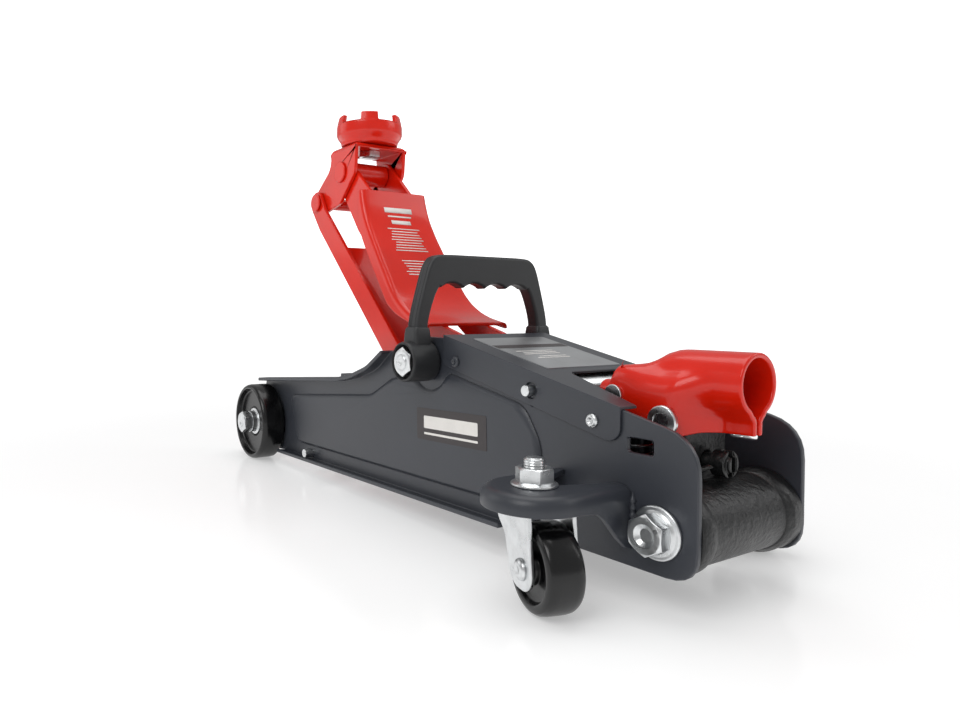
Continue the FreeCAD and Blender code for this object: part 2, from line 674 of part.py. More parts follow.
def link_web():
    """Web that joins the two link bars along their front edge."""
    span = size("arm_length")
    points = [(36.0, -13.5, 0), (span - 44.0, -13.5, 0), (span - 44.0, -11.0, 0),
              (36.0, -11.0, 0)]
    placed = [(x + LINK_STEP.x, z + LINK_STEP.z, r) for x, z, r in arm_corners(points)]
    return padded("LinkWeb", "XZ_Plane", placed, "2 * Sizes.link_inner", size("link_inner"))


def stub_pin(name):
    """Pin on a side plate that carries one link bar."""
    inner = size("link_inner") - 0.8
    shank = rod(name + "Shank", "Sizes.link_pin", str(FRAME_HALF + 0.5 - inner),
                at(PIN_C, -FRAME_HALF - 0.5))
    shoulder = rod(name + "Shoulder", "8", str(INSIDE - 29.0), at(PIN_C, -INSIDE))
    return fused(name + "Whole", shank, shoulder)


bracket = node("saddle_bracket", saddle_bracket())
bracket_outer = size("bracket_inner") + size("bracket_thick")
node("bracket_pin", headed_pin("BracketPin", PIN_B, "Sizes.bracket_pin", bracket_outer,
                               "8.5", 2.0))
tube_half = size("arm_inner") - size("side_gap")
tube = rod("BracketSpacerTube", "9", str(2 * tube_half), at(PIN_B, -tube_half))
tube_bore = rod("BracketSpacerBore", "Sizes.bracket_pin + Sizes.running", "60", at(PIN_B, -30))
node("bracket_spacer", cut("BracketSpacer", tube, tube_bore))
link_outer = size("link_inner") + size("link_thick") + 0.6
node("link_pin", headed_pin("LinkPin", PIN_D, "Sizes.link_pin", link_outer, "7.5", 2.0))
node("saddle", saddle())
node("saddle_bolt", saddle_bolt())
left_bar = node("link_bar_left", link_bar())
node("link_bar_right", mirrored("LinkBarRight", left_bar))
node("link_web", link_web())
node("link_stub_pins", both_sides("StubPins", stub_pin))


# ---------------------------------------------------------------- power unit
RAM_Z = size("ram_height")
TANK_FRONT = 290.0
TANK_BACK = 352.0
HEAD_FRONT = CRANK.x + size("crank_radius") + 0.5


def ram_tube():
    """Ram cylinder with its bore."""
    tube = rod("RamTube", "Sizes.tube_radius", "70", Vector(282, 0, RAM_Z), X_AXIS)
    bore = rod("RamBore", "Sizes.ram_radius + Sizes.running", "69", Vector(281, 0, RAM_Z),
               X_AXIS)
    return cut("RamCylinder", tube, bore)


def reservoir():
    """Oil reservoir round the ram cylinder, with its front cap."""
    length = TANK_BACK - TANK_FRONT
    outer = rod("TankOuter", "Sizes.tank_radius", str(length),
                Vector(TANK_FRONT, 0, RAM_Z), X_AXIS)
    inner = rod("TankInner", "Sizes.tank_radius - Sizes.tank_wall", str(length),
                Vector(TANK_FRONT + 4, 0, RAM_Z), X_AXIS)
    hole = rod("TankHole", "Sizes.tube_radius", "20", Vector(TANK_FRONT - 5, 0, RAM_Z),
               X_AXIS)
    return cut("Tank", outer, inner, hole)


def gland():
    nut = hexagon("Gland", "34", "8", Vector(282, 0, RAM_Z), X_AXIS)
    hole = rod("GlandHole", "Sizes.tube_radius", "20", Vector(276, 0, RAM_Z), X_AXIS)
    return cut("GlandNut", nut, hole)


def piston_rod():
    """Piston rod with the flat head that pushes the arm's roller."""
    head = rod("RamHead", "12", "7", Vector(HEAD_FRONT, 0, RAM_Z), X_AXIS)
    bar = rod("RamRod", "Sizes.ram_radius", str(310.0 - HEAD_FRONT),
              Vector(HEAD_FRONT, 0, RAM_Z), X_AXIS)
    return fused("PistonRod", head, bar)


def power_block():
    """Cast body of the power unit: end plate, base, socket post and cross tube."""
    half = size("block_half")
    end = rod("BlockEnd", "Sizes.tank_radius", "4", Vector(TANK_BACK, 0, RAM_Z), X_AXIS)
    base = slab("BlockBase", Vector(355, -half, 22), Vector(REAR_POST.x, half, 52))
    foot = slab("BlockFoot", Vector(352, -half, 37), Vector(356, half, 52))
    post = slab("BlockPost", Vector(392.0, -16, 50), Vector(407.0, 16, SOCKET.z))
    eye = rod("BlockEye", "7.5", "32", at(SOCKET, -16))
    cross = rod("BlockCross", "Sizes.cross_radius", str(2 * INSIDE), at(REAR_POST, -INSIDE))
    shoulder = fused("BlockSolid", end, base, foot, post, eye, cross)
    pump = rod("PumpBore", "Sizes.pump_radius + Sizes.running", "40",
               Vector(NOSE.x, 0, 23.5), Z_AXIS)
    eye_bore = rod("BlockEyeBore", "Sizes.socket_pin + Sizes.running", "60", at(SOCKET, -30))
    screw = rod("ValveBore", "4 + Sizes.running", "14", Vector(397, 0, 64), X_AXIS)
    bolts = []
    for i, y in enumerate((-INSIDE - 1, INSIDE - 24)):
        bolts.append(rod("BlockBolt%d" % i, "Sizes.bolt_radius + Sizes.running", "25",
                         at(REAR_POST, y)))
    return cut("PowerBlock", shoulder, pump, eye_bore, screw, *bolts)


def flange_bolt(name):
    """Hexagon flange bolt through a side plate into the casting."""
    flange = rod(name + "Flange", "11.5", "2.2", at(REAR_POST, -FRAME_HALF - 2.2))
    cone = rod(name + "Step", "9.6", "1.2", at(REAR_POST, -FRAME_HALF - 3.4))
    head = hexagon(name + "Hex", "Sizes.hex_flats", "6.6", at(REAR_POST, -FRAME_HALF - 10))
    shank = rod(name + "Shank", "Sizes.bolt_radius", "24", at(REAR_POST, -FRAME_HALF))
    return fused(name + "Bolt", flange, cone, head, shank)


def plunger():
    """Pump plunger with the head that the socket's nose presses."""
    top = NOSE.z - 4.0 - 0.5
    bar = rod("PlungerRod", "Sizes.pump_radius", str(top - 45.0), Vector(NOSE.x, 0, 45),
              Z_AXIS)
    head = rod("PlungerHead", "7", "3", Vector(NOSE.x, 0, top - 3.0), Z_AXIS)
    return fused("Plunger", bar, head)


def pump_spring():
    """Pump return spring, as closed turns between the block and the plunger's head."""
    turns = []
    low = 53.0
    high = NOSE.z - 8.6
    for i in range(7):
        ring = doc.addObject("Part::Torus", "SpringTurn%d" % i)
        ring.Radius1 = size("pump_radius") + 1.6
        ring.Radius2 = 0.8
        height = low + (high - low) * i / 6.0
        ring.Placement = Placement(Vector(NOSE.x, 0, height), Rotation())
        turns.append(ring)
    return together("PumpSpring", *turns)


def release_valve():
    """Release valve spindle with its cross-slotted knob."""
    stem = rod("ValveStem", "4", "23", Vector(397.5, 0, 64), X_AXIS)
    knob = rod("ValveKnob", "6.5", "7", Vector(412, 0, 64), X_AXIS)
    slot = slab("ValveSlot", Vector(415, -1.5, 50), Vector(425, 1.5, 80))
    return cut("ReleaseValve", fused("ValveSolid", stem, knob), slot)


node("ram_cylinder", ram_tube())
node("oil_reservoir", reservoir())
node("ram_gland_nut", gland())
node("piston_rod", piston_rod())
node("power_unit_block", power_block())
node("rear_flange_bolts", both_sides("FlangeBolts", flange_bolt))
node("pump_plunger", plunger())
node("pump_spring", pump_spring())
node("release_valve", release_valve())


def return_spring(name):
    """Tension spring, closed turns, from beside the crank to the anchor rod."""
    start = at(CRANK, -33.0) + Vector(6.0, 0, 1.8)
    end = at(ANCHOR, -33.0) - Vector(5.2, 0, 1.4)
    reach = end - start
    turn = Rotation(Vector(0, 0, 1), reach)
    coil = rod(name + "Coil", "4.4", str(reach.Length), start, turn)
    hollow = rod(name + "Hollow", "3", "200", start - reach * 0.2, turn)
    return cut(name + "Spring", coil, hollow)


node("return_springs", both_sides("ReturnSprings", return_spring))


# ---------------------------------------------------------------- handle socket
def handle_socket():
    """Handle socket: two cheeks and a roof in front, a round tube with a keel behind."""
    half = size("socket_half")
    wall = size("socket_wall")
    radius = size("socket_tube")
    axis = size("socket_axis")
    mouth = size("rear_edge") + 1.0
    x = SOCKET.x
    z = SOCKET.z
    cheek = [(x - 38.3, z + 3.5, 4), (x - 38.3, z + 17.0, 2), (x - 31.5, z + 19.0, 1),
             (x - 31.0, z + 24.4, 3), (x - 20.0, z + 25.2, 10), (x - 8.0, z + 30.5, 12),
             (x + 11.5, z + 31.0, 3), (x + 11.5, z - 5.0, 3), (x - 2.0, z - 9.5, 10),
             (x - 14.0, z - 7.5, 12), (x - 26.0, z + 1.5, 15)]
    pins = [(x, z, "Sizes.socket_pin"), (NOSE.x, NOSE.z, "3.5")]
    outer = padded("SocketShell", "XZ_Plane", cheek, "2 * Sizes.socket_half", half, pins)
    low = z - 40.0
    room = [(x - 60.0, low, 0), (x - 60.0, z + 24.4 - wall, 0), (x - 31.0, z + 24.4 - wall, 0),
            (x - 20.0, z + 25.2 - wall, 10), (x - 8.0, z + 30.5 - wall, 12),
            (x + 9.0, z + 31.0 - wall, 2), (x + 9.0, low, 0)]
    channel = padded("SocketChannel", "XZ_Plane", room,
                     "2 * (Sizes.socket_half - Sizes.socket_wall)", half - wall)
    tube = rod("SocketTube", "Sizes.socket_tube", str(mouth - x - 9.0),
               Vector(x + 9.0, 0, axis), X_AXIS)
    keel = slab("SocketKeel", Vector(x + 9.0, -3.4, axis - 22.9),
                Vector(mouth, 3.4, axis - radius + 2))
    bore = rod("SocketBore", "Sizes.socket_tube - Sizes.socket_wall", "60",
               Vector(x + 4.0, 0, axis), X_AXIS)
    shell = cut("SocketFront", outer, channel)
    return cut("HandleSocket", fused("SocketSolid", shell, tube, keel), bore)


node("handle_socket", handle_socket())
socket_half = size("socket_half")
node("socket_pivot_bolt", headed_pin("SocketBolt", SOCKET, "Sizes.socket_pin", socket_half,
                                     "7.6", 3.2))
node("socket_nose_pin", headed_pin("NosePin", NOSE, "3.5", socket_half, "5", 1.6))


# ---------------------------------------------------------------- rear casters
SWING = -size("caster_turn")


def on_caster(forward, sideways, height):
    """A point of the left caster, from its stem, turned with the caster."""
    turn = Rotation(Vector(0, 0, 1), SWING)
    flat = turn.multVec(Vector(forward, sideways, 0))
    return Vector(STEM.x + flat.x, STEM.y + flat.y, height)


def caster_bracket():
    """Pressed bracket, welded to the side plate: a flat top with a skirt all round."""
    radius = size("dome_radius")
    top = size("dome_top")
    front = STEM.x - radius
    back = STEM.x + radius
    plan = [(front, -FRAME_HALF, 0), (front, STEM.y - radius, radius - 0.1),
            (back, STEM.y - radius, radius - 0.1), (back, -FRAME_HALF, 0)]
    skirt = 3.0
    hollow_plan = [(front + skirt, -FRAME_HALF + 5, 0),
                   (front + skirt, STEM.y - radius + skirt, radius - skirt - 0.1),
                   (back - skirt, STEM.y - radius + skirt, radius - skirt - 0.1),
                   (back - skirt, -FRAME_HALF + 5, 0)]
    shell = padded("BracketShell", "XY_Plane", plan, "32", top - 32)
    hollow = padded("BracketHollow", "XY_Plane", hollow_plan, "29", top - 32)
    under = [(-FRAME_HALF + 1, top - 33, 0), (-FRAME_HALF - 4.5, top - 33, 0),
             (-FRAME_HALF - 6.0, top - 28, 5), (STEM.y + radius * 0.6, top - 11, 20),
             (STEM.y, top - 9, 10), (STEM.y - radius - 2, top - 9, 0),
             (STEM.y - radius - 2, top - 40, 0), (-FRAME_HALF + 1, top - 40, 0)]
    trimmed = padded("BracketTrim", "YZ_Plane", under, "120", STEM.x - 60)
    bore = rod("BracketBore", "Sizes.stem_radius", "20", Vector(STEM.x, STEM.y, top - 10),
               Z_AXIS)
    return cut("CasterBracket", shell, hollow, trimmed, bore)


def caster_stem():
    """Stem bolt with its nut and washer on top of the bracket."""
    top = size("dome_top")
    foot = Vector(STEM.x, STEM.y, 43.2)
    shank = rod("StemShank", "Sizes.stem_radius", str(top + 13.0 - 43.2), foot, Z_AXIS)
    head = rod("StemHead", "8", "1.6", foot - Vector(0, 0, 0.4), Z_AXIS)
    washer = rod("StemWasher", "10.5", "1.5", Vector(STEM.x, STEM.y, top), Z_AXIS)
    nut = hexagon("StemNut", "Sizes.hex_flats - 1", "8", Vector(STEM.x, STEM.y, top + 1.5),
                  Z_AXIS)
    return fused("CasterStem", shank, head, washer, nut)


def caster_race():
    """Ball race between the bracket and the fork."""
    ring = rod("RaceRing", "14", "2.6", Vector(STEM.x, STEM.y, 49.4), Z_AXIS)
    hole = rod("RaceHole", "Sizes.stem_radius", "10", Vector(STEM.x, STEM.y, 45), Z_AXIS)
    return cut("CasterRace", ring, hole)


def caster_fork():
    """Pressed fork: a top plate and two cheeks that lean back to the axle."""
    trail = size("caster_trail")
    axle_z = size("caster_radius")
    gap = size("caster_width") / 2 + size("side_gap") + 0.3
    top_z = 49.0
    outline = [(-14.0, top_z, 4), (16.0, top_z, 4), (17.0, top_z - 8, 6),
               (trail + 9.5, axle_z - 9.5, 9.4), (trail - 9.5, axle_z - 9.5, 9.4),
               (-6.0, axle_z + 12, 10), (-14.0, top_z - 10, 8)]
    bore = [(trail, axle_z, "3 + Sizes.running")]
    left = padded("ForkCheek", "XZ_Plane", outline, "2.4", -gap, bore)
    right = padded("ForkCheekInner", "XZ_Plane", outline, "2.4", gap + 2.4, bore)
    plate = slab("ForkPlate", Vector(-14.0, -gap - 2.4, top_z - 4.2),
                 Vector(16.0, gap + 2.4, top_z))
    hole = rod("ForkHole", "Sizes.stem_radius + Sizes.running", "20", Vector(0, 0, 40), Z_AXIS)
    recess = rod("ForkRecess", "8.5", "2.2", Vector(0, 0, top_z - 6.4 + 0.6), Z_AXIS)
    fork = cut("CasterFork", fused("ForkSolid", left, right, plate), hole, recess)
    fork.Placement = Placement(Vector(STEM.x, STEM.y, 0), Rotation(Vector(0, 0, 1), SWING))
    return fork


def caster_wheel():
    """Caster wheel with a dished face each side."""
    radius = size("caster_radius")
    half = size("caster_width") / 2
    bore = 3.0 + RUN
    section = [(bore, -half, 0), (6.5, -half, 0.5), (6.5, -half + 3, 1), (14.5, -half + 3, 1),
               (15.5, -half, 0.5), (radius - 2, -half, 1.5), (radius, -half + 3, 2),
               (radius, half - 3, 2), (radius - 2, half, 1.5), (15.5, half, 0.5),
               (14.5, half - 3, 1), (6.5, half - 3, 1), (6.5, half, 0.5), (bore, half, 0)]
    return turned("CasterWheel", section, on_caster(size("caster_trail"), 0, radius), SWING)


def caster_axle():
    """Riveted caster axle."""
    half = size("caster_width") / 2 + size("side_gap") + 2.9
    place = on_caster(size("caster_trail"), -half, size("caster_radius"))
    turn = Rotation(Vector(0, 0, 1), SWING).multiply(Y_AXIS)
    shank = rod("RivetShank", "3", str(2 * half), place, turn)
    outer = on_caster(size("caster_trail"), -half - 1.8, size("caster_radius"))
    inner = on_caster(size("caster_trail"), half, size("caster_radius"))
    return fused("CasterAxle", shank, rod("RivetHead", "5", "1.8", outer, turn),
                 rod("RivetTail", "5", "1.8", inner, turn))


CASTER_PIECES = [("caster_bracket", caster_bracket), ("caster_stem", caster_stem),
                 ("caster_race", caster_race), ("caster_fork", caster_fork),
                 ("caster_wheel", caster_wheel), ("caster_axle", caster_axle)]
for label, make in CASTER_PIECES:
    left = node(label + "_left", make())
    node(label + "_right", mirrored(label + "Mirror", left))


# ---------------------------------------------------------------- checks and files
doc.recompute()
for obj in doc.Objects:
    if "Invalid" in obj.State or "Error" in obj.State:
        raise RuntimeError("failed: %s %s" % (obj.Label, obj.State))
for name, obj in NODES.items():
    if obj.Shape.isNull() or not obj.Shape.isValid() or not obj.Shape.Solids:
        raise RuntimeError("bad shape: " + name)
for name, obj in NODES.items():
    obj.Shape.exportStep("parts/%s.step" % name)
print(len(NODES), "nodes written")
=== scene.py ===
import json
import math

import bmesh
import bpy
from mathutils import Matrix, Vector


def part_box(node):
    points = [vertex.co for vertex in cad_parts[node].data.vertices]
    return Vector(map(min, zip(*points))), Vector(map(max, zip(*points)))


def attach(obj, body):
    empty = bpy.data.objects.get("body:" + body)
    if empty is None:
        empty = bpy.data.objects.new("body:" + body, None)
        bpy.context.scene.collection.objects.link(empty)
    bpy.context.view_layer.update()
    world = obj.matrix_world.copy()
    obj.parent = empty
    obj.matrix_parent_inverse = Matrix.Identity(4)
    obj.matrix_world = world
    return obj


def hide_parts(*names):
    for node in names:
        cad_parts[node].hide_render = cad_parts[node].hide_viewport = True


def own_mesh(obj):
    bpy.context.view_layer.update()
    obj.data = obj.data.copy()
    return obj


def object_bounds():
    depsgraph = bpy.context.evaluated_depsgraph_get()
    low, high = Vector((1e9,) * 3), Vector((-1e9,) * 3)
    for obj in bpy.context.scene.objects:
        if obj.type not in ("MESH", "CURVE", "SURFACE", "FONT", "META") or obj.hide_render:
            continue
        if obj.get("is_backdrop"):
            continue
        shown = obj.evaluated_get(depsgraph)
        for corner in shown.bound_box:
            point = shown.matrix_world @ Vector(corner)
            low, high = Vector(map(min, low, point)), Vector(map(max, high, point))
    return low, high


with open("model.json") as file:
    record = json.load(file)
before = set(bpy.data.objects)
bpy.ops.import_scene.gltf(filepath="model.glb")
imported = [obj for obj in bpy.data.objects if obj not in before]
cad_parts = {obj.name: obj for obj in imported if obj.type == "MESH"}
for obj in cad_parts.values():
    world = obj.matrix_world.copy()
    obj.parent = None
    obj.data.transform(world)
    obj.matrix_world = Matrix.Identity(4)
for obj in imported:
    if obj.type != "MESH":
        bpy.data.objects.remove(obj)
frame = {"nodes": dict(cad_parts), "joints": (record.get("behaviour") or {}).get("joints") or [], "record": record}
CAD_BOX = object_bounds()

bl_info = {
    "name": "Floor jack finish",
    "version": (1, 0, 0),
    "blender": (4, 5, 0),
    "location": "3D View > Sidebar > Floor jack",
    "description": "Finishes a low profile hydraulic floor jack around its frame",
    "category": "Object",
}

MM = 0.001
UP = Vector((0, 0, 1))
BACK = 198.7          # mm from the front axle to the middle of the jack
LEFT = -1.0
RIGHT = 1.0


def srgb(code):
    """Linear colour of an sRGB hex value."""
    channels = [int(code[i:i + 2], 16) / 255 for i in (1, 3, 5)]
    return [c / 12.92 if c <= 0.04045 else ((c + 0.055) / 1.055) ** 2.4 for c in channels]


def joint_place(name):
    """The place of a hinge at rest."""
    return next(Vector(j["pos_m"]) for j in frame["joints"] if j["name"] == name)


def middle(node):
    """The middle of a node's box."""
    low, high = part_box(node)
    return (Vector(low) + Vector(high)) / 2


def foot_of(node, above=None):
    """A point on a node's underside, below its middle or another place, and its height in mm."""
    low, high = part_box(node)
    spot = above or middle(node)
    return Vector((spot.x, spot.y, low[2])), (high[2] - low[2]) / MM


def outer_faces(node):
    """Place and direction of the outer face that a node has at each side of the jack."""
    centre, outer = middle(node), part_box(node)[1][1]
    for side in (LEFT, RIGHT):
        yield Vector((centre.x, side * outer, centre.z)), Vector((0, side, 0))


PIVOT = joint_place("arm_lift")
ARM_END = joint_place("bracket_level")
ALONG = (ARM_END - PIVOT).normalized()
ABOVE = Vector((-ALONG.z, 0, ALONG.x)) * -1
SOCKET = joint_place("pump_stroke_lever")
SADDLE = joint_place("saddle_swivel")


# ---------------------------------------------------------------- settings
def length(name, description, default, high=0.05):
    """A length setting."""
    return bpy.props.FloatProperty(name=name, description=description, default=default,
                                   min=0.0, max=high, unit="LENGTH", precision=4)


def colour(name, description, code):
    """A colour setting, from an sRGB hex value."""
    return bpy.props.FloatVectorProperty(name=name, description=description, size=3,
                                         subtype="COLOR", default=srgb(code), min=0.0,
                                         max=1.0)


class JackSizes(bpy.types.PropertyGroup):
    """Sizes of the finish that a user would change."""
    sheet_edge: length("Sheet edge", "Rounding of pressed sheet edges", 0.7 * MM)
    pin_edge: length("Pin edge", "Rounding of pins, nuts and bolts", 0.45 * MM)
    cast_edge: length("Casting edge", "Rounding of cast edges", 1.6 * MM)
    moulded_edge: length("Moulded edge", "Rounding of plastic edges", 1.7 * MM)
    spring_wire: length("Spring wire", "Wire diameter of the return springs", 1.5 * MM)
    label_thick: length("Label thickness", "Thickness of the printed labels", 0.15 * MM)


class JackColours(bpy.types.PropertyGroup):
    """Colours of the paint, plastic and labels."""
    red: colour("Red", "Powder coat of the arm, saddle and socket", "#D81E08")
    charcoal: colour("Charcoal", "Paint of the frame", "#32353C")
    plastic: colour("Plastic", "Moulded carry handle", "#232426")
    wheel: colour("Wheel", "Moulded wheels", "#0B0B0C")
    zinc: colour("Zinc", "Plated fasteners", "#DADCDD")
    print_white: colour("Print", "Printed bars on the labels", "#E9E6E1")


def sizes():
    """The sizes set in the panel."""
    return bpy.context.scene.jack_sizes


def colours():
    """The colours set in the panel."""
    return bpy.context.scene.jack_colours


# ---------------------------------------------------------------- materials
def add(tree, kind, settings=(), **inputs):
    """Add a node, set its properties, and feed its inputs with values or sockets."""
    node = tree.nodes.new(kind)
    for name, value in dict(settings).items():
        setattr(node, name, value)
    for name, value in inputs.items():
        socket = node.inputs[name.replace("_", " ")]
        if isinstance(value, bpy.types.NodeSocket):
            tree.links.new(value, socket)
        else:
            socket.default_value = value
    return node


def shade(base, factor):
    """A colour made darker or lighter."""
    return [min(1.0, c * factor) for c in base] + [1.0]


def ramp(tree, factor, low, high, start=0.35, end=0.65):
    """Two colours mixed along a factor."""
    node = add(tree, "ShaderNodeValToRGB", Fac=factor)
    node.color_ramp.elements[0].position = start
    node.color_ramp.elements[1].position = end
    node.color_ramp.elements[0].color = low
    node.color_ramp.elements[1].color = high
    return node.outputs["Color"]


def surface(name, base, spread, patch_mm, roughness, rough_spread, grain_mm, grain_depth,
            detail=3.0, stretch=(1, 1, 1), **shader):
    """A surface whose colour and roughness drift in patches, over a fine grain.

    base is the colour, spread how far it drifts, patch_mm and grain_mm real sizes.
    """
    found = bpy.data.materials.get(name)
    if found:
        return found
    material = bpy.data.materials.new(name)
    material.use_nodes = True
    tree = material.node_tree
    principled = tree.nodes["Principled BSDF"]
    place = add(tree, "ShaderNodeTexCoord").outputs["Object"]
    turned = add(tree, "ShaderNodeMapping", Vector=place, Scale=stretch).outputs["Vector"]
    patches = add(tree, "ShaderNodeTexNoise", Vector=place, Scale=1000 / patch_mm,
                  Detail=4.0, Roughness=0.55).outputs["Fac"]
    grain = add(tree, "ShaderNodeTexNoise", Vector=turned, Scale=1000 / grain_mm,
                Detail=detail, Roughness=0.5).outputs["Fac"]
    tint = ramp(tree, patches, shade(base, 1 - spread), shade(base, 1 + spread))
    tree.links.new(tint, principled.inputs["Base Color"])
    rough = add(tree, "ShaderNodeMapRange", Value=patches,
                To_Min=max(0.02, roughness - rough_spread), To_Max=roughness + rough_spread)
    tree.links.new(rough.outputs["Result"], principled.inputs["Roughness"])
    bump = add(tree, "ShaderNodeBump", Strength=1.0, Distance=grain_depth * MM, Height=grain)
    tree.links.new(bump.outputs["Normal"], principled.inputs["Normal"])
    for key, value in shader.items():
        principled.inputs[key.replace("_", " ")].default_value = value
    return material


def red_powder_coat():
    """Gloss powder coat on pressed steel: bright, with a faint orange peel."""
    return surface("red_powder_coat", colours().red, 0.07, 60, 0.24, 0.05, 2.4, 0.05,
                   Coat_Weight=0.2, Coat_Roughness=0.08, IOR=1.42)


def charcoal_paint():
    """Satin baked enamel on sheet steel: a soft sheen that shows the pressing."""
    return surface("charcoal_baked_enamel", colours().charcoal, 0.10, 80, 0.40, 0.06, 1.8,
                   0.03, Coat_Weight=0.12, Coat_Roughness=0.3, IOR=1.5)


def zinc_plate():
    """Bright zinc plating: pale metal, slightly cloudy, with fine drawn lines."""
    return surface("bright_zinc_plate", colours().zinc, 0.10, 7, 0.29, 0.09, 0.9, 0.04,
                   Metallic=1.0)


def turned_steel():
    """Oiled turned steel: darker metal with close tool marks."""
    return surface("oiled_turned_steel", srgb("#77787A"), 0.12, 12, 0.33, 0.08, 0.6, 0.03,
                   Metallic=1.0)


def cast_paint():
    """Black paint over a sand casting: coarse, pitted skin with a dull shine."""
    return surface("black_painted_casting", srgb("#121314"), 0.3, 9, 0.40, 0.12, 2.8, 0.7,
                   detail=9.0, IOR=1.5)


def moulded_plastic():
    """Moulded polyamide: near black, satin, with a spark-eroded texture."""
    return surface("moulded_polyamide", colours().plastic, 0.10, 25, 0.48, 0.06, 0.7, 0.05,
                   IOR=1.53)


def wheel_plastic():
    """Moulded polypropylene wheels: deep black and glossy, with light scuffs."""
    return surface("gloss_polypropylene", colours().wheel, 0.3, 14, 0.22, 0.09, 3.0, 0.03,
                   IOR=1.49)


def brushed_foil():
    """Brushed aluminium foil label: pale, with long streaks across the jack."""
    return surface("brushed_aluminium_foil", srgb("#B4B6B8"), 0.10, 30, 0.34, 0.10, 0.9, 0.02,
                   stretch=(1, 0.05, 1), Metallic=0.85)


def label_film():
    """Matt black vinyl film of the labels."""
    return surface("matt_vinyl_film", srgb("#3A3536"), 0.06, 20, 0.42, 0.05, 1.0, 0.01,
                   IOR=1.46)


def print_ink():
    """Pale screen print ink: even and slightly raised, with a soft edge sheen."""
    return surface("screen_print_ink", colours().print_white, 0.03, 10, 0.45, 0.04, 0.8,
                   0.01, IOR=1.5)


def studio_floor():
    """Acrylic sweep with a painted glow: pale near the jack and brighter away from it."""
    material = surface("painted_glow_acrylic_sweep", srgb("#E6E6E6"), 0.004, 400, 0.16, 0.02, 60,
                       0.0, IOR=1.45)
    tree = material.node_tree
    place = add(tree, "ShaderNodeTexCoord").outputs["Object"]
    away = add(tree, "ShaderNodeVectorMath", {"operation": "LENGTH"}, Vector=place)
    # painted glow: weak emission near the jack, stronger away from it
    glow = add(tree, "ShaderNodeMapRange", {"interpolation_type": "SMOOTHSTEP"},
               Value=away.outputs["Value"], From_Min=0.25, From_Max=1.6, To_Min=0.36,
               To_Max=0.9)
    principled = tree.nodes["Principled BSDF"]
    principled.inputs["Emission Color"].default_value = (1, 1, 1, 1)
    tree.links.new(glow.outputs["Result"], principled.inputs["Emission Strength"])
    return material


def studio_wall():
    """Bright fabric backdrop, lit from behind, with a faint weave."""
    material = surface("backlit_fabric_wall", srgb("#F0F0F0"), 0.004, 900, 0.8, 0.02, 40, 0.1)
    principled = material.node_tree.nodes["Principled BSDF"]
    principled.inputs["Emission Color"].default_value = (1, 1, 1, 1)
    principled.inputs["Emission Strength"].default_value = 1.0
    return material


# ---------------------------------------------------------------- mesh helpers
def object_from(bm, name, material, smooth=True):
    """Turn a bmesh into a linked object with one material."""
    for face in bm.faces:
        face.smooth = smooth
    mesh = bpy.data.meshes.new(name)
    bm.to_mesh(mesh)
    bm.free()
    mesh.materials.append(material)
    piece = bpy.data.objects.new(name, mesh)
    bpy.context.scene.collection.objects.link(piece)
    return piece


def rounded(piece, width, segments=2, limit=28.0):
    """Round a piece's edges, and keep its flats flat in the shading."""
    bevel = piece.modifiers.new("edges", "BEVEL")
    bevel.width = width
    bevel.segments = segments
    bevel.limit_method = "ANGLE"
    bevel.angle_limit = math.radians(limit)
    bevel.profile = 0.5
    bevel.use_clamp_overlap = False
    bevel.miter_outer = "MITER_ARC"
    normals = piece.modifiers.new("normals", "WEIGHTED_NORMAL")
    normals.keep_sharp = True
    return piece


def body_of(node):
    """The moving body that a frame node belongs to."""
    bodies = frame["record"]["behaviour"]["bodies"]
    return next(body for body, nodes in bodies.items() if node in nodes)


def slot_of(node):
    """The material slot that a frame node has."""
    return next(s["material_slot"] for s in frame["record"]["subparts"] if s["node"] == node)


def stand_for(piece, node):
    """A piece that takes a frame node's place and body."""
    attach(piece, body_of(node))
    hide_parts(node)
    slot_of(node)
    return piece


def skin(node, material, width, segments=2, limit=28.0, fold=0.0, folded=None):
    """A frame node's own shape, merged and with rounded edges.

    Edges whose ends are all folded, given a point in mm, are bent at a larger radius.
    """
    bm = bmesh.new()
    bm.from_mesh(frame["nodes"][node].data)
    bmesh.ops.remove_doubles(bm, verts=bm.verts, dist=0.002 * MM)
    bmesh.ops.dissolve_limit(bm, angle_limit=math.radians(0.6), use_dissolve_boundaries=False,
                             verts=bm.verts, edges=bm.edges)
    if folded:
        bends = [e for e in bm.edges if all(folded(v.co / MM) for v in e.verts)
                 and len(e.link_faces) == 2 and e.calc_face_angle() > 0.5]
        bmesh.ops.bevel(bm, geom=bends, offset=fold, segments=5, profile=0.5,
                        affect="EDGES", clamp_overlap=False, material=-1)
    piece = object_from(bm, node + "_skin", material)
    rounded(piece, width, segments, limit)
    return stand_for(piece, node)


def skins(nodes, material, width, segments=2, limit=28.0):
    """The same skin on several frame nodes."""
    return [skin(node, material, width, segments, limit) for node in nodes]


def pair(name):
    """Names of a part and its mirror image."""
    return [name + "_left", name + "_right"]


def skin_through(rows):
    """A bmesh surface through rows of points, in mm; equal points merge."""
    across = len(rows[0])
    bm = bmesh.new()
    bmesh.ops.create_grid(bm, x_segments=across - 1, y_segments=len(rows) - 1, size=1)
    bm.verts.ensure_lookup_table()
    places = [point for row in rows for point in row]
    for vert, point in zip(bm.verts, places, strict=True):
        vert.co = Vector(point) * MM
    bmesh.ops.remove_doubles(bm, verts=bm.verts, dist=1e-6)
    bmesh.ops.dissolve_degenerate(bm, edges=bm.edges, dist=1e-7)
    bmesh.ops.recalc_face_normals(bm, faces=bm.faces)
    return bm


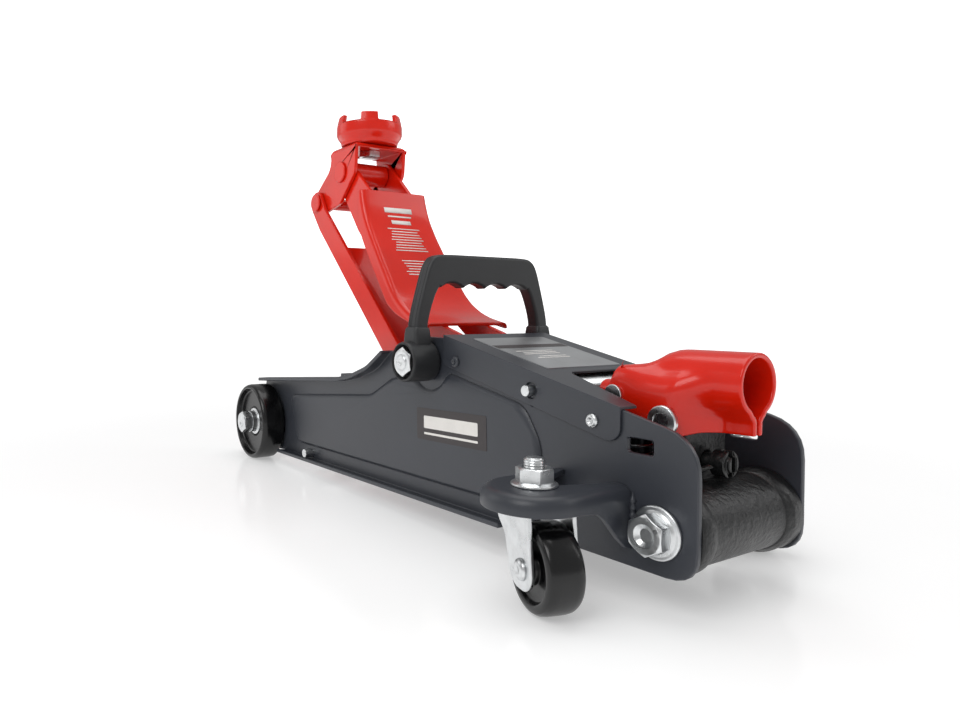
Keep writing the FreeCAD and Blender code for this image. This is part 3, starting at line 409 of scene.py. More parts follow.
def aimed(bm, centre, axis):
    """Turn a piece made along Z to an axis, and move it to its place."""
    turn = UP.rotation_difference(Vector(axis)).to_matrix().to_4x4()
    bmesh.ops.transform(bm, matrix=Matrix.Translation(centre) @ turn, verts=bm.verts)
    return bm


def lathe(profile, centre, axis, steps=56):
    """A bmesh turned about an axis from (radius, reach) points in mm."""
    bm = bmesh.new()
    verts = [bm.verts.new((radius * MM, 0, reach * MM)) for radius, reach in profile]
    edges = [bm.edges.new(ends) for ends in zip(verts, verts[1:])]
    bmesh.ops.spin(bm, geom=verts + edges, cent=(0, 0, 0), axis=(0, 0, 1), steps=steps,
                   angle=2 * math.pi, use_merge=True, use_duplicate=False)
    bmesh.ops.remove_doubles(bm, verts=bm.verts, dist=1e-6)
    bmesh.ops.recalc_face_normals(bm, faces=bm.faces)
    return aimed(bm, centre, axis)


def hexagon(flats, height, inner, dimple, centre, axis, per_flat=8):
    """A hexagon head or nut whose corners are turned off by a shallow cone.

    A bolt has a dimple in its end; a nut has no dimple and keeps its bore open.
    """
    rim = flats / 2
    chamfer = math.tan(math.radians(30))
    turns = [math.pi * i / (3 * per_flat) for i in range(6 * per_flat + 1)]
    reach = [rim / math.cos((turn + math.pi / 6) % (math.pi / 3) - math.pi / 6)
             for turn in turns]
    shoulder = [height - (r - 0.96 * rim) * chamfer for r in reach]

    def ring(radius, level):
        return [radius] * len(turns), [level] * len(turns)

    rings = [ring(0.0 if dimple else inner, 0.0), (reach, [0.0] * len(turns)),
             (reach, shoulder), ring(0.95 * rim, height)]
    if dimple:
        rings += [ring(inner, height), ring(0.6 * inner, height - dimple),
                  ring(0.0, height - dimple)]
    else:
        rings += [ring(inner + 0.6, height), ring(inner, height - 0.7), ring(inner, 0.0)]
    rows = [[(r * math.cos(t), r * math.sin(t), h) for t, r, h in zip(turns, radii, levels)]
            for radii, levels in rings]
    return aimed(skin_through(rows), centre, axis)


def thread(radius, start, end, pitch=1.25):
    """Profile of a thread, from (radius, start) to (radius, end), in mm."""
    turns = int((end - start) / pitch)
    points = []
    for i in range(turns):
        points += [(radius, start + i * pitch), (radius - 0.55, start + (i + 0.5) * pitch)]
    return points + [(radius, start + turns * pitch), (radius - 0.8, end)]


def absorb(whole, bm):
    """Move a bmesh's geometry into another."""
    mesh = bpy.data.meshes.new("part")
    bm.to_mesh(mesh)
    bm.free()
    whole.from_mesh(mesh)
    bpy.data.meshes.remove(mesh)


def joined(name, material, pieces):
    """Several bmeshes as one object."""
    whole = bmesh.new()
    for bm in pieces:
        absorb(whole, bm)
    return object_from(whole, name, material)


def arc(centre, radius, start, end, steps):
    """Points of an arc as (across, up), angles in degrees."""
    turns = [math.radians(start + (end - start) * i / steps) for i in range(steps + 1)]
    return [(centre[0] + radius * math.cos(t), centre[1] + radius * math.sin(t))
            for t in turns]


def ellipse(across, up, steps):
    """Points of a closed ellipse; the last is the first again."""
    turns = [2 * math.pi * k / steps for k in range(steps + 1)]
    return [(across * math.cos(t), up * math.sin(t)) for t in turns]


def thicken(piece, thickness, direction):
    """Give an open sheet its wall, which grows from it in a direction."""
    facing = sum((p.normal * p.area for p in piece.data.polygons), Vector())
    wall = piece.modifiers.new("wall", "SOLIDIFY")
    wall.thickness = thickness
    wall.offset = 1.0 if facing.dot(direction) > 0 else -1.0
    wall.use_even_offset = True
    return piece


def resampled(points, count):
    """Evenly spaced points along a line of points."""
    reach = [0.0]
    for a, b in zip(points, points[1:]):
        reach.append(reach[-1] + (b - a).length)
    result = []
    for i in range(count):
        wanted = reach[-1] * i / (count - 1)
        k = max(j for j in range(len(points) - 1) if reach[j] <= wanted + 1e-12)
        share = (wanted - reach[k]) / max(reach[k + 1] - reach[k], 1e-12)
        result.append(points[k].lerp(points[k + 1], min(1.0, share)))
    return result


def inside(point, outline):
    """Whether a flat point is inside a closed outline."""
    hits = 0
    for a, b in zip(outline, outline[1:] + outline[:1]):
        if (a.y > point.y) != (b.y > point.y):
            cross = a.x + (point.y - a.y) / (b.y - a.y) * (b.x - a.x)
            hits += cross > point.x
    return hits % 2 == 1


def smooth_step(value):
    """0 to 1 with a soft start and end."""
    value = min(1.0, max(0.0, value))
    return value * value * (3 - 2 * value)


def table_value(rows, x):
    """Straight-line value between (x, value) rows."""
    if x <= rows[0][0]:
        return rows[0][1]
    for (x0, v0), (x1, v1) in zip(rows, rows[1:]):
        if x <= x1:
            return v0 + (v1 - v0) * (x - x0) / (x1 - x0)
    return rows[-1][1]


def rounded_outline(corners, steps=6):
    """Points of a closed outline whose corners are (across, up, radius)."""
    points = []
    flat = [Vector(c[:2]) for c in corners]
    for i, (corner, radius) in enumerate(zip(flat, [c[2] for c in corners])):
        back = flat[i - 1] - corner
        ahead = flat[(i + 1) % len(flat)] - corner
        half = back.angle(ahead) / 2
        if radius <= 0 or half > math.radians(89):
            points.append(corner)
            continue
        room = 0.48 * min(back.length, ahead.length)
        setback = min(radius / math.tan(half), room)
        start = corner + back.normalized() * setback
        end = corner + ahead.normalized() * setback
        for k in range(steps + 1):
            t = k / steps
            points.append(start * (1 - t) ** 2 + corner * 2 * t * (1 - t) + end * t ** 2)
    return points


def softened(points, times=2):
    """An open line of points with its corners cut again and again."""
    for _ in range(times):
        cut = [points[0]]
        for a, b in zip(points, points[1:]):
            cut += [a.lerp(b, 0.25), a.lerp(b, 0.75)]
        points = cut + [points[-1]]
    return points


def ring_of(bm, points):
    """The edges of a closed loop through points in mm."""
    verts = [bm.verts.new(Vector(p) * MM) for p in points]
    return [bm.edges.new(ends) for ends in zip(verts, verts[1:] + verts[:1])]


def inset_outline(points, depth):
    """A closed outline moved inward by a depth, for an outline run either way."""
    area = sum(a.x * b.y - b.x * a.y for a, b in zip(points, points[1:] + points[:1]))
    side = 1 if area > 0 else -1
    moved = []
    for i, point in enumerate(points):
        run = (points[(i + 1) % len(points)] - points[i - 1]).normalized()
        moved.append(point + Vector((-run.y, run.x)) * side * depth)
    return moved


def tray(outline, place, height, slope=2.8, steps=4):
    """Loops that raise a pressed area smoothly; place turns (across, up, out) to 3-D."""
    rings = []
    for k in range(steps + 1):
        inner = inset_outline(outline, slope * k / steps)
        out = height * smooth_step(k / steps)
        rings.append([place(p.x, p.y, out) for p in inner])
    return rings


def coil(name, start, end, radius, wire, turns, material, ring=8, steps=20):
    """A helical spring between two points."""
    axis = end - start
    bm = bmesh.new()
    made = bmesh.ops.create_circle(bm, segments=ring, radius=wire / 2, cap_ends=True)
    bmesh.ops.rotate(bm, verts=made["verts"], cent=(0, 0, 0),
                     matrix=Matrix.Rotation(math.radians(90), 3, "X"))
    bmesh.ops.translate(bm, verts=made["verts"], vec=(radius, 0, 0))
    geometry = bm.faces[:] + bm.edges[:] + bm.verts[:]
    bmesh.ops.spin(bm, geom=geometry, cent=(0, 0, 0), axis=(0, 0, 1),
                   dvec=(0, 0, axis.length / (turns * steps)), angle=2 * math.pi * turns,
                   steps=turns * steps, use_duplicate=False)
    bmesh.ops.remove_doubles(bm, verts=bm.verts, dist=1e-7)
    bmesh.ops.recalc_face_normals(bm, faces=bm.faces)
    return object_from(aimed(bm, start, axis), name, material)


# ---------------------------------------------------------------- operators
class JACK_OT_frame(bpy.types.Operator):
    """Side plates, cover and rear caster brackets in baked enamel"""
    bl_idname = "jack.frame"
    bl_label = "Frame plates"
    bl_options = {"REGISTER", "UNDO"}

    # outlines as (mm behind the front axle, mm above the floor, corner radius)
    EDGE = [(-14.0, 8.2, 14), (30.0, 9.2, 0), (318.0, 15.5, 0), (430.5, 18.0, 15),
            (430.5, 80.3, 21), (262.6, 118.9, 10), (240.0, 119.3, 8), (199.5, 108.6, 0),
            (180.0, 96.4, 40), (156.7, 88.6, 40), (137.0, 85.0, 20), (-11.0, 73.2, 0),
            (-14.0, 54.0, 10)]
    PRESSING = [(42.0, 61.5, 9), (176.0, 74.5, 25), (202.0, 88.0, 20), (224.0, 92.6, 6)]
    PRESSING_REST = [(267.0, 96.3, 5), (329.0, 84.0, 17), (343.5, 62.0, 26),
                     (336.0, 29.0, 13), (57.0, 23.0, 13)]

    WINDOW = [(394.8, 70.3, 1.6), (408.8, 70.3, 1.6), (408.8, 77.3, 1.6), (394.8, 77.3, 1.6)]
    KEYHOLE = (335.6, 86.6)
    INNER_FACE = 39.6     # mm from the jack's middle plane
    SHEET = 3.0
    RAISED = 2.0
    FLANGE = 11.4

    def execute(self, context):
        for node, side in (("left_side_plate", LEFT), ("right_side_plate", RIGHT)):
            self.side_plate(node, side)
        skins(["cover_plate"], charcoal_paint(), 0.4 * MM)
        for node, side in (("caster_bracket_left", LEFT), ("caster_bracket_right", RIGHT)):
            self.bracket(node, side)
        return {"FINISHED"}

    def pressing(self):
        """The pressed panel's outline, which dips round the main pivot."""
        pivot = (PIVOT.x / MM + BACK, PIVOT.z / MM)
        dip = [(x, z, 0) for x, z in arc(pivot, 19.5, 214, 330, 14)]
        return rounded_outline(self.PRESSING + dip + self.PRESSING_REST)

    def side_plate(self, node, side):
        """A side plate with its holes, its raised panel and its flanges."""
        def place(x, z, out):
            return Vector((x - BACK, side * (self.INNER_FACE + out), z))

        bm = bmesh.new()
        holes = [rounded_outline(self.WINDOW, 3),
                 [Vector(p) for p in arc(self.KEYHOLE, 2.0, 90, 450, 14)[:-1]]]
        loops = []
        for outline in [rounded_outline(self.EDGE)] + holes:
            loops += ring_of(bm, [place(p.x, p.y, 0) for p in outline])
        rings = tray(self.pressing(), place, self.RAISED)
        loops += ring_of(bm, rings[0])
        bmesh.ops.triangle_fill(bm, edges=loops, use_beauty=True)
        self.drop_islands(bm, holes + [self.pressing()])
        bmesh.ops.remove_doubles(bm, verts=bm.verts, dist=1e-6)
        absorb(bm, self.raised_panel(rings))
        bmesh.ops.remove_doubles(bm, verts=bm.verts, dist=2e-6)
        self.flanges(bm, side)
        bmesh.ops.recalc_face_normals(bm, faces=bm.faces)
        plate = object_from(bm, node + "_sheet", charcoal_paint())
        thicken(plate, self.SHEET * MM, Vector((0, side, 0)))
        stand_for(rounded(plate, sizes().sheet_edge, 3, 38), node)

    def raised_panel(self, rings):
        """The panel's slope, ring by ring, and its flat."""
        bm = bmesh.new()
        before = None
        for points in rings:
            now = ring_of(bm, points)
            if before:
                bmesh.ops.bridge_loops(bm, edges=before + now)
            before = now
        bmesh.ops.triangle_fill(bm, edges=before, use_beauty=True)
        return bm

    def drop_islands(self, bm, outlines):
        """Take away the faces that the fill left inside an outline."""
        doomed = []
        for face in bm.faces:
            spot = face.calc_center_median() / MM
            point = Vector((spot.x + BACK, spot.z))
            if any(inside(point, outline) for outline in outlines):
                doomed.append(face)
        bmesh.ops.delete(bm, geom=doomed, context="FACES_ONLY")

    def flanges(self, bm, side):
        """Fold the flanges outward: along the front top edge and along the sill."""
        for low, high, top in ((-11.5, 200.0, True), (29.5, 318.5, False)):
            chosen = []
            for fold in bm.edges:
                if not fold.is_boundary:
                    continue
                spots = [v.co / MM for v in fold.verts]
                along = all(low < s.x + BACK < high for s in spots)
                if along and all(self.on_edge(s, top) for s in spots):
                    chosen.append(fold)
            made = bmesh.ops.extrude_edge_only(bm, edges=chosen)
            far = [v for v in made["geom"] if isinstance(v, bmesh.types.BMVert)]
            bmesh.ops.translate(bm, verts=far, vec=(0, side * self.FLANGE * MM, 0))

    def on_edge(self, spot, top):
        """Whether a border point lies on the fold of the top flange or of the sill's."""
        back = spot.x + BACK
        if top:
            return 0.080 * back + 70 < spot.z < 109.5
        return spot.z < 8.2 + 0.022 * (back + 14) + 1.5

    # (mm in from the rim, mm below the top) over the rolled rim, and radii round the stem
    ROLL = [(0.0, 6.0), (0.5, 3.6), (1.6, 1.7), (3.3, 0.5), (5.4, 0.0), (9.0, 0.0)]
    STEM_RINGS = (10.9, 10.4)

    def bracket(self, node, side):
        """Pressed bracket: a dish round the stem, drawn down into a tab on the plate."""
        low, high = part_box(node)
        stem = middle(node.replace("bracket", "stem"))
        x0, y0 = stem.x / MM, abs(stem.y) / MM
        plate = min(abs(low[1]), abs(high[1])) / MM
        top = high[2] / MM
        radius = (high[0] - low[0]) / 2 / MM
        straight = [(radius, (y0 - plate) * k / 8) for k in range(8, 0, -1)]
        outline = straight + [(x, -y) for x, y in arc((0, 0), radius, 0, 180, 40)]
        outline += [(-x, y) for x, y in reversed(straight)]
        rows = [[(x0 + x, side * (y0 - y), top + self.skirt(max(0.0, y) / (y0 - plate)))
                 for x, y in outline]]
        for inset, depth in self.ROLL:
            keep = 1 - inset / radius
            rows.append([(x0 + x * keep, side * (y0 - (y * keep if y < 0 else y)), top - depth)
                         for x, y in outline])
        for ring in self.STEM_RINGS:
            rows.append([(x0 + x / math.hypot(x, y) * ring,
                          side * (y0 - y / math.hypot(x, y) * ring), top)
                         for x, y in outline])
        rows.append([(x0, side * y0, top)] * len(outline))
        sheet = object_from(skin_through(rows), node + "_pressing", charcoal_paint())
        thicken(sheet, 2.8 * MM, -UP)
        stand_for(rounded(sheet, 0.6 * MM, 2, 45), node)
        self.weld(node, side, x0 + radius, plate, top)

    def skirt(self, reach):
        """Depth of the skirt, which grows where it nears the side plate."""
        return -9.0 - 1.5 * smooth_step(reach * 1.6) - 19.0 * smooth_step(reach * 1.5 - 0.5)

    def weld(self, node, side, x, plate, top):
        """Weld bead down the tab's rear edge."""
        rows = []
        for i in range(25):
            share = i / 24
            swell = 1.5 + 0.35 * math.sin(i * 1.9) + 0.2 * math.sin(i * 4.7)
            swell *= min(1.0, 6 * share, 6 * (1 - share)) + 0.05
            centre = (x + 0.4, side * (plate + 0.4), top - 2.5 - 24.0 * share)
            rows.append([(centre[0] + dx, centre[1] + dy, centre[2])
                         for dx, dy in ellipse(swell, swell, 10)])
        bead = object_from(skin_through(rows), node + "_weld", charcoal_paint())
        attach(bead, "frame")


class JACK_OT_fasteners(bpy.types.Operator):
    """Plated nuts, bolts, screws and cross rods"""
    bl_idname = "jack.fasteners"
    bl_label = "Fasteners"
    bl_options = {"REGISTER", "UNDO"}

    def execute(self, context):
        plated = ["front_tie_rod", "spring_anchor_rod", "spring_anchor_sleeve",
                  "link_stub_pins", "socket_nose_pin"]
        skins(plated, zinc_plate(), sizes().pin_edge)
        bare = ["main_pivot_shaft", "main_pivot_spacers", "push_pin", "push_roller",
                "front_axle"]
        skins(bare, turned_steel(), sizes().pin_edge)
        self.axle_nuts()
        self.pivot_nuts()
        self.rear_bolts()
        self.cover_screws()
        self.saddle_bolt()
        self.socket_bolt()
        return {"FINISHED"}

    def axle_nuts(self):
        """Washer, sleeve and dimpled hexagon outside each front wheel."""
        pieces = []
        for face, axis in outer_faces("front_axle_nuts"):
            pieces.append(lathe([(8.02, 0.3), (12.0, 0), (12.3, 0.5), (12.0, 1.6), (9.7, 1.8),
                                 (9.5, 2.6), (9.5, 6.6), (8.02, 6.8)],
                                face - axis * 14.7 * MM, axis))
            pieces.append(hexagon(17.0, 7.0, 4.2, 1.1, face - axis * 7.2 * MM, axis))
        stand_for(rounded(joined("axle_nuts", zinc_plate(), pieces), 0.25 * MM),
                  "front_axle_nuts")

    def pivot_nuts(self):
        """Nut, washer and end of the pivot shaft, in each handle boss."""
        pieces = []
        for face, axis in outer_faces("main_pivot_nuts"):
            pieces.append(hexagon(16.6, 7.0, 5.6, 0.4, face - axis * 6.5 * MM, axis))
            pieces.append(lathe([(0, 0), (4.9, 0), (4.9, 0.9), (4.2, 1.5), (2.2, 1.5),
                                 (1.9, 0.9), (0, 0.9)], face, axis, 40))
            pieces.append(lathe([(8.1, 0), (10.2, 0), (10.2, 1.3), (8.1, 1.3)],
                                face - axis * 7.7 * MM, axis))
        stand_for(rounded(joined("pivot_nuts", zinc_plate(), pieces), 0.25 * MM),
                  "main_pivot_nuts")

    def rear_bolts(self):
        """Hexagon flange bolts with a round dimple, on a stepped collar."""
        pieces = []
        for face, axis in outer_faces("rear_flange_bolts"):
            pieces.append(lathe([(0, -24), (5.4, -24), (5.95, -23), (5.95, 0), (11.6, 0),
                                 (12.2, 0.5), (12.2, 1.6), (11.6, 2.1), (10.2, 2.3),
                                 (9.4, 3.0), (9.1, 3.5), (0, 3.5)],
                                face - axis * 10.0 * MM, axis))
            pieces.append(hexagon(16.8, 6.8, 5.2, 1.7, face - axis * 6.8 * MM, axis))
        stand_for(rounded(joined("rear_bolts", zinc_plate(), pieces), 0.3 * MM, 3),
                  "rear_flange_bolts")

    def cover_screws(self):
        """Round headed cover screws with a round socket; the upper pair is painted over."""
        low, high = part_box("cover_screws")
        half = high[1] / MM
        for name, x, z, finish in (
                ("upper", low[0] + 3.4 * MM, high[2] - 3.4 * MM, charcoal_paint()),
                ("lower", high[0] - 3.4 * MM, low[2] + 3.4 * MM, zinc_plate())):
            heads = [lathe([(0, -6), (2.0, -6), (2.0, 0), (3.5, 0), (3.5, 0.5), (3.2, 1.2),
                            (2.4, 1.7), (1.5, 1.8), (1.4, 0.9), (0, 0.9)],
                           Vector((x, side * (half - 1.8) * MM, z)), Vector((0, side, 0)), 32)
                     for side in (LEFT, RIGHT)]
            stand_for(joined("screws_" + name, finish, heads), "cover_screws")

    def saddle_bolt(self):
        """Saddle bolt: low round head above, threaded end and nut below."""
        foot, tall = foot_of("saddle_bolt", SADDLE)
        shank = lathe([(0, 0)] + thread(6.0, 0.5, 7.0) + [(5.9, 7.5), (5.9, tall - 2.5),
                      (10.6, tall - 2.5), (11.0, tall - 2.0), (10.4, tall - 0.6),
                      (8.5, tall), (3.5, tall), (3.2, tall - 1.2), (0, tall - 1.2)],
                      foot, UP)
        nut = hexagon(16.6, 5.0, 6.0, 0, foot + UP * 1.0 * MM, UP)
        stand_for(rounded(joined("saddle_screw", zinc_plate(), [shank, nut]), 0.2 * MM),
                  "saddle_bolt")

    def socket_bolt(self):
        """Flat disc heads of the handle socket's pivot, slightly crowned."""
        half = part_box("socket_pivot_bolt")[1][1] / MM
        face = half - 3.2
        profile = [(0, 0), (4.95, 0), (4.95, face), (7.2, face), (7.6, face + 0.4),
                   (7.6, face + 2.2), (7.1, face + 2.9), (4.2, half), (3.9, half - 0.5),
                   (0, half - 0.6)]
        heads = [lathe(profile, SOCKET, Vector((0, side, 0))) for side in (LEFT, RIGHT)]
        stand_for(rounded(joined("socket_bolt", zinc_plate(), heads), 0.2 * MM),
                  "socket_pivot_bolt")


class JACK_OT_wheels(bpy.types.Operator):
    """Front wheels: a rounded tread and a thin rim lip round a deep dish"""
    bl_idname = "jack.wheels"
    bl_label = "Front wheels"
    bl_options = {"REGISTER", "UNDO"}

    def execute(self, context):
        profile = [(8.05, 44.6), (15.0, 44.6), (15.4, 45.2), (15.6, 50.0), (17.0, 50.8),
                   (25.4, 50.8), (26.6, 50.2), (27.2, 45.4), (28.0, 44.6), (32.4, 44.6),
                   (33.3, 45.0), (33.9, 46.0), (34.1, 48.0), (34.1, 60.8), (33.8, 62.6),
                   (33.0, 64.2), (32.0, 65.0), (31.0, 65.2), (30.2, 65.0), (29.8, 64.2),
                   (29.2, 61.2), (28.6, 60.2), (27.4, 59.8), (14.4, 59.6), (13.4, 59.2),
                   (12.9, 58.2), (12.4, 58.0), (8.05, 58.0), (8.05, 44.6)]
        for name, side in (("front_wheel_left", LEFT), ("front_wheel_right", RIGHT)):
            centre = middle(name)
            centre.y = 0
            wheel = object_from(lathe(profile, centre, (0, side, 0), 96), name + "_moulded",
                                wheel_plastic())
            stand_for(rounded(wheel, 0.35 * MM), name)
        return {"FINISHED"}


class JACK_OT_casters(bpy.types.Operator):
    """Rear casters: plated fork, race, stem and rivet, moulded wheel"""
    bl_idname = "jack.casters"
    bl_label = "Rear casters"
    bl_options = {"REGISTER", "UNDO"}

    BRACKET_TOP = 55.0    # mm above the floor

    def execute(self, context):
        for tag in ("_left", "_right"):
            skin("caster_fork" + tag, zinc_plate(), 0.8 * MM, 3)
            axis = (joint_place("caster" + tag + "_roll")
                    - joint_place("caster" + tag + "_swivel"))
            axle = Vector((-axis.y, axis.x, 0)).normalized()
            self.wheel("caster_wheel" + tag, axle)
            self.rivet("caster_axle" + tag, axle)
            self.stem("caster_stem" + tag)
            self.race("caster_race" + tag)
        return {"FINISHED"}

    def wheel(self, node, axle):
        """Glossy wheel with a rounded tread, a rim lip and a dished face each side."""
        half = [(3.06, 9.0), (5.6, 9.0), (6.3, 8.7), (6.6, 8.0), (7.0, 6.6), (8.4, 6.0),
                (13.2, 6.2), (14.4, 6.6), (14.9, 7.8), (15.4, 8.7), (16.2, 9.0), (17.6, 8.9),
                (19.2, 8.1), (20.2, 6.4), (20.55, 4.0), (20.6, 0.0)]
        profile = half + [(r, -h) for r, h in reversed(half[:-1])] + half[:1]
        wheel = object_from(lathe(profile, middle(node), axle, 80), node + "_moulded",
                            wheel_plastic())
        stand_for(rounded(wheel, 0.25 * MM), node)

    def rivet(self, node, axle):
        """Rivet with a domed head and a pressed dimple at each end."""
        profile = [(0, -14.1), (1.7, -14.1), (2.1, -14.4), (3.2, -14.2), (4.6, -13.4),
                   (5.0, -12.4), (3.0, -12.3), (3.0, 12.3), (5.0, 12.4), (4.6, 13.4),
                   (3.2, 14.2), (2.1, 14.4), (1.7, 14.1), (0, 14.1)]
        rivet = object_from(lathe(profile, middle(node), axle, 40), node + "_rivet",
                            zinc_plate())
        stand_for(rivet, node)

    def stem(self, node):
        """Threaded stem with a flanged hexagon nut."""
        foot, tall = foot_of(node)
        plate = self.BRACKET_TOP - foot.z / MM
        shank = lathe([(0, 0), (7.6, 0), (8.0, 0.6), (7.6, 1.6), (4.95, 1.7),
                       (4.95, plate)] + thread(5.0, plate + 1, tall - 0.6)
                      + [(3.9, tall), (0, tall)], foot, UP, 40)
        seat = foot + UP * plate * MM
        washer = lathe([(5.0, 0), (10.6, 0), (10.9, 0.4), (10.7, 1.2), (9.0, 1.8),
                        (8.2, 2.2), (5.0, 2.2)], seat, UP, 48)
        nut = hexagon(15.6, 6.6, 5.1, 0, seat + UP * 2.0 * MM, UP)
        stand_for(rounded(joined(node + "_bolt", zinc_plate(), [shank, washer, nut]),
                          0.2 * MM), node)

    def race(self, node):
        """Ball race: a dished cup with a rolled edge."""
        foot, tall = foot_of(node)
        race = lathe([(5.0, 0.1), (11.5, 0.1), (13.4, 0.0), (14.0, 0.5), (14.0, tall - 0.5),
                      (13.4, tall), (11.6, tall - 0.1), (5.0, tall - 0.1), (5.0, 0.1)],
                     foot, UP)
        stand_for(object_from(race, node + "_cup", zinc_plate()), node)


class JACK_OT_arm(bpy.types.Operator):
    """Lifting arm: two walls under one waisted plate with turned-down lips"""
    bl_idname = "jack.arm"
    bl_label = "Lifting arm"
    bl_options = {"REGISTER", "UNDO"}

    # (along, above) in mm from the pivot, square to the raised arm
    TOP_LINE = [(25.6, 8.0), (31.0, 4.6), (38.5, 0.2), (48.3, -4.0), (60.0, -6.6),
                (71.7, -6.7), (85.9, -4.6), (107.5, -1.6), (126.0, 1.6), (141.3, 5.4),
                (152.0, 10.0), (162.3, 16.0)]
    LIP = [(25.6, 3.2), (48.0, 6.5), (70.0, 12.0), (135.0, 12.5), (150.0, 9.0), (162.3, 4.0)]
    HALF_WIDTH = [(25.6, 36.6), (34.0, 35.6), (60.0, 34.3), (110.0, 32.6), (162.3, 31.4)]

    def execute(self, context):
        skins(pair("arm_wall"), red_powder_coat(), sizes().sheet_edge)
        self.plate()
        return {"FINISHED"}

    @classmethod
    def top_points(cls):
        """Smoothed centre line of the plate's top."""
        line = resampled([Vector((a, 0, h)) for a, h in cls.TOP_LINE], 40)
        inner = [(a + b * 2 + c) / 4 for a, b, c in zip(line, line[1:], line[2:])]
        return [line[0]] + inner + [line[-1]]

    @staticmethod
    def on_top(line, along):
        """Point and square direction of the plate's top at a distance along the arm."""
        for a, b in zip(line, line[1:]):
            if a.x <= along <= b.x:
                run = (b - a).normalized()
                return a.lerp(b, (along - a.x) / (b.x - a.x)), Vector((-run.z, 0, run.x))
        raise ValueError("off the plate: %s" % along)

    def plate(self):
        """Sections along the plate, square to its top, from one lip over to the other."""
        line = self.top_points()
        rows = []
        corner = 4.2
        last = len(line) - 1
        for i, point in enumerate(line):
            run = (line[min(i + 1, last)] - line[max(i - 1, 0)]).normalized()
            square = Vector((-run.z, 0, run.x))
            half = table_value(self.HALF_WIDTH, point.x)
            deep = table_value(self.LIP, point.x)
            side = [(half, -deep)] + arc((half - corner, -corner), corner, 0, 90, 5)
            side = [(y, min(0, n)) for y, n in side] if deep > corner else side[1:]
            crown = [(half * 0.55, 0.25), (0, 0.3)]
            section = resampled([Vector((y, n, 0)) for y, n in side], 9)
            section += resampled([Vector((section[-1].x, section[-1].y, 0))]
                                 + [Vector((y, n, 0)) for y, n in crown], 8)[1:]
            section += [Vector((-p.x, p.y, 0)) for p in reversed(section[:-1])]
            rows.append([self.in_world(point + square * p.y) + Vector((0, p.x, 0))
                         for p in section])
        plate = object_from(skin_through(rows), "arm_plate", red_powder_coat())
        thicken(plate, 2.4 * MM, -ABOVE)
        stand_for(rounded(plate, 0.6 * MM, 3, 40), "arm_top_plate")

    @staticmethod
    def in_world(point):
        """Place in mm of a point given along and above the arm."""
        return (PIVOT / MM) + ALONG * point.x + ABOVE * point.z


class JACK_OT_link(bpy.types.Operator):
    """Link bars, web, saddle bracket and their pins"""
    bl_idname = "jack.link"
    bl_label = "Link and bracket"
    bl_options = {"REGISTER", "UNDO"}

    def execute(self, context):
        nodes = ["link_bar_left", "link_bar_right", "link_web", "bracket_spacer"]
        skins(nodes, red_powder_coat(), sizes().sheet_edge, 3)
        high = Vector(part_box("saddle_bracket")[1]) / MM
        skin("saddle_bracket", red_powder_coat(), 0.6 * MM, 3, 34, fold=4.5 * MM,
             folded=lambda p: p.z > high.z - 0.1 and abs(p.y) > high.y - 0.1)
        skins(["bracket_pin", "link_pin"], red_powder_coat(), 0.9 * MM, 3)
        return {"FINISHED"}


class JACK_OT_saddle(bpy.types.Operator):
    """Saddle: a cast cup that flares from its foot and carries five teeth"""
    bl_idname = "jack.saddle"
    bl_label = "Saddle"
    bl_options = {"REGISTER", "UNDO"}

    TEETH = 5
    FIRST = 39.6       # degrees to the first tooth's middle
    GAP = (17, 55)     # degrees from a tooth's middle
    STEPS = 90

    def execute(self, context):
        foot, tall = foot_of("saddle", SADDLE)
        root = tall - 6.5
        profile = [(6.1, 0), (22.4, 0), (23.4, 0.7), (23.6, 2.0), (23.8, 3.4), (25.0, 5.2),
                   (26.6, 7.4), (27.3, 9.6), (27.2, root - 1.0), (26.6, root),
                   (22.6, root), (22.0, root - 1.0), (21.6, 9.4), (20.6, 8.5), (6.1, 8.5),
                   (6.1, 0)]
        cup = lathe(profile, foot, UP, self.STEPS)
        self.teeth(cup, foot, tall, root)
        saddle = object_from(cup, "saddle_casting", red_powder_coat())
        stand_for(rounded(saddle, 0.9 * MM, 3), "saddle")
        return {"FINISHED"}

    def teeth(self, cup, foot, tall, root):
        """Raise the rim between the gaps, leaning slightly inward."""
        rim = []
        for face in cup.faces:
            place = face.calc_center_median() - foot
            turn = (math.degrees(math.atan2(place.y, place.x)) - self.FIRST) % (360 / self.TEETH)
            on_rim = abs(place.z - root * MM) < 0.01 * MM and place.xy.length > 20 * MM
            if on_rim and not self.GAP[0] <= turn <= self.GAP[1]:
                rim.append(face)
        made = bmesh.ops.extrude_face_region(cup, geom=rim)
        bmesh.ops.delete(cup, geom=rim, context="FACES")
        risen = [v for v in made["geom"] if isinstance(v, bmesh.types.BMVert)]
        bmesh.ops.translate(cup, verts=risen, vec=(0, 0, (tall - root) * MM))
        bmesh.ops.scale(cup, verts=risen, vec=(0.955, 0.955, 1),
                        space=Matrix.Translation(-foot))


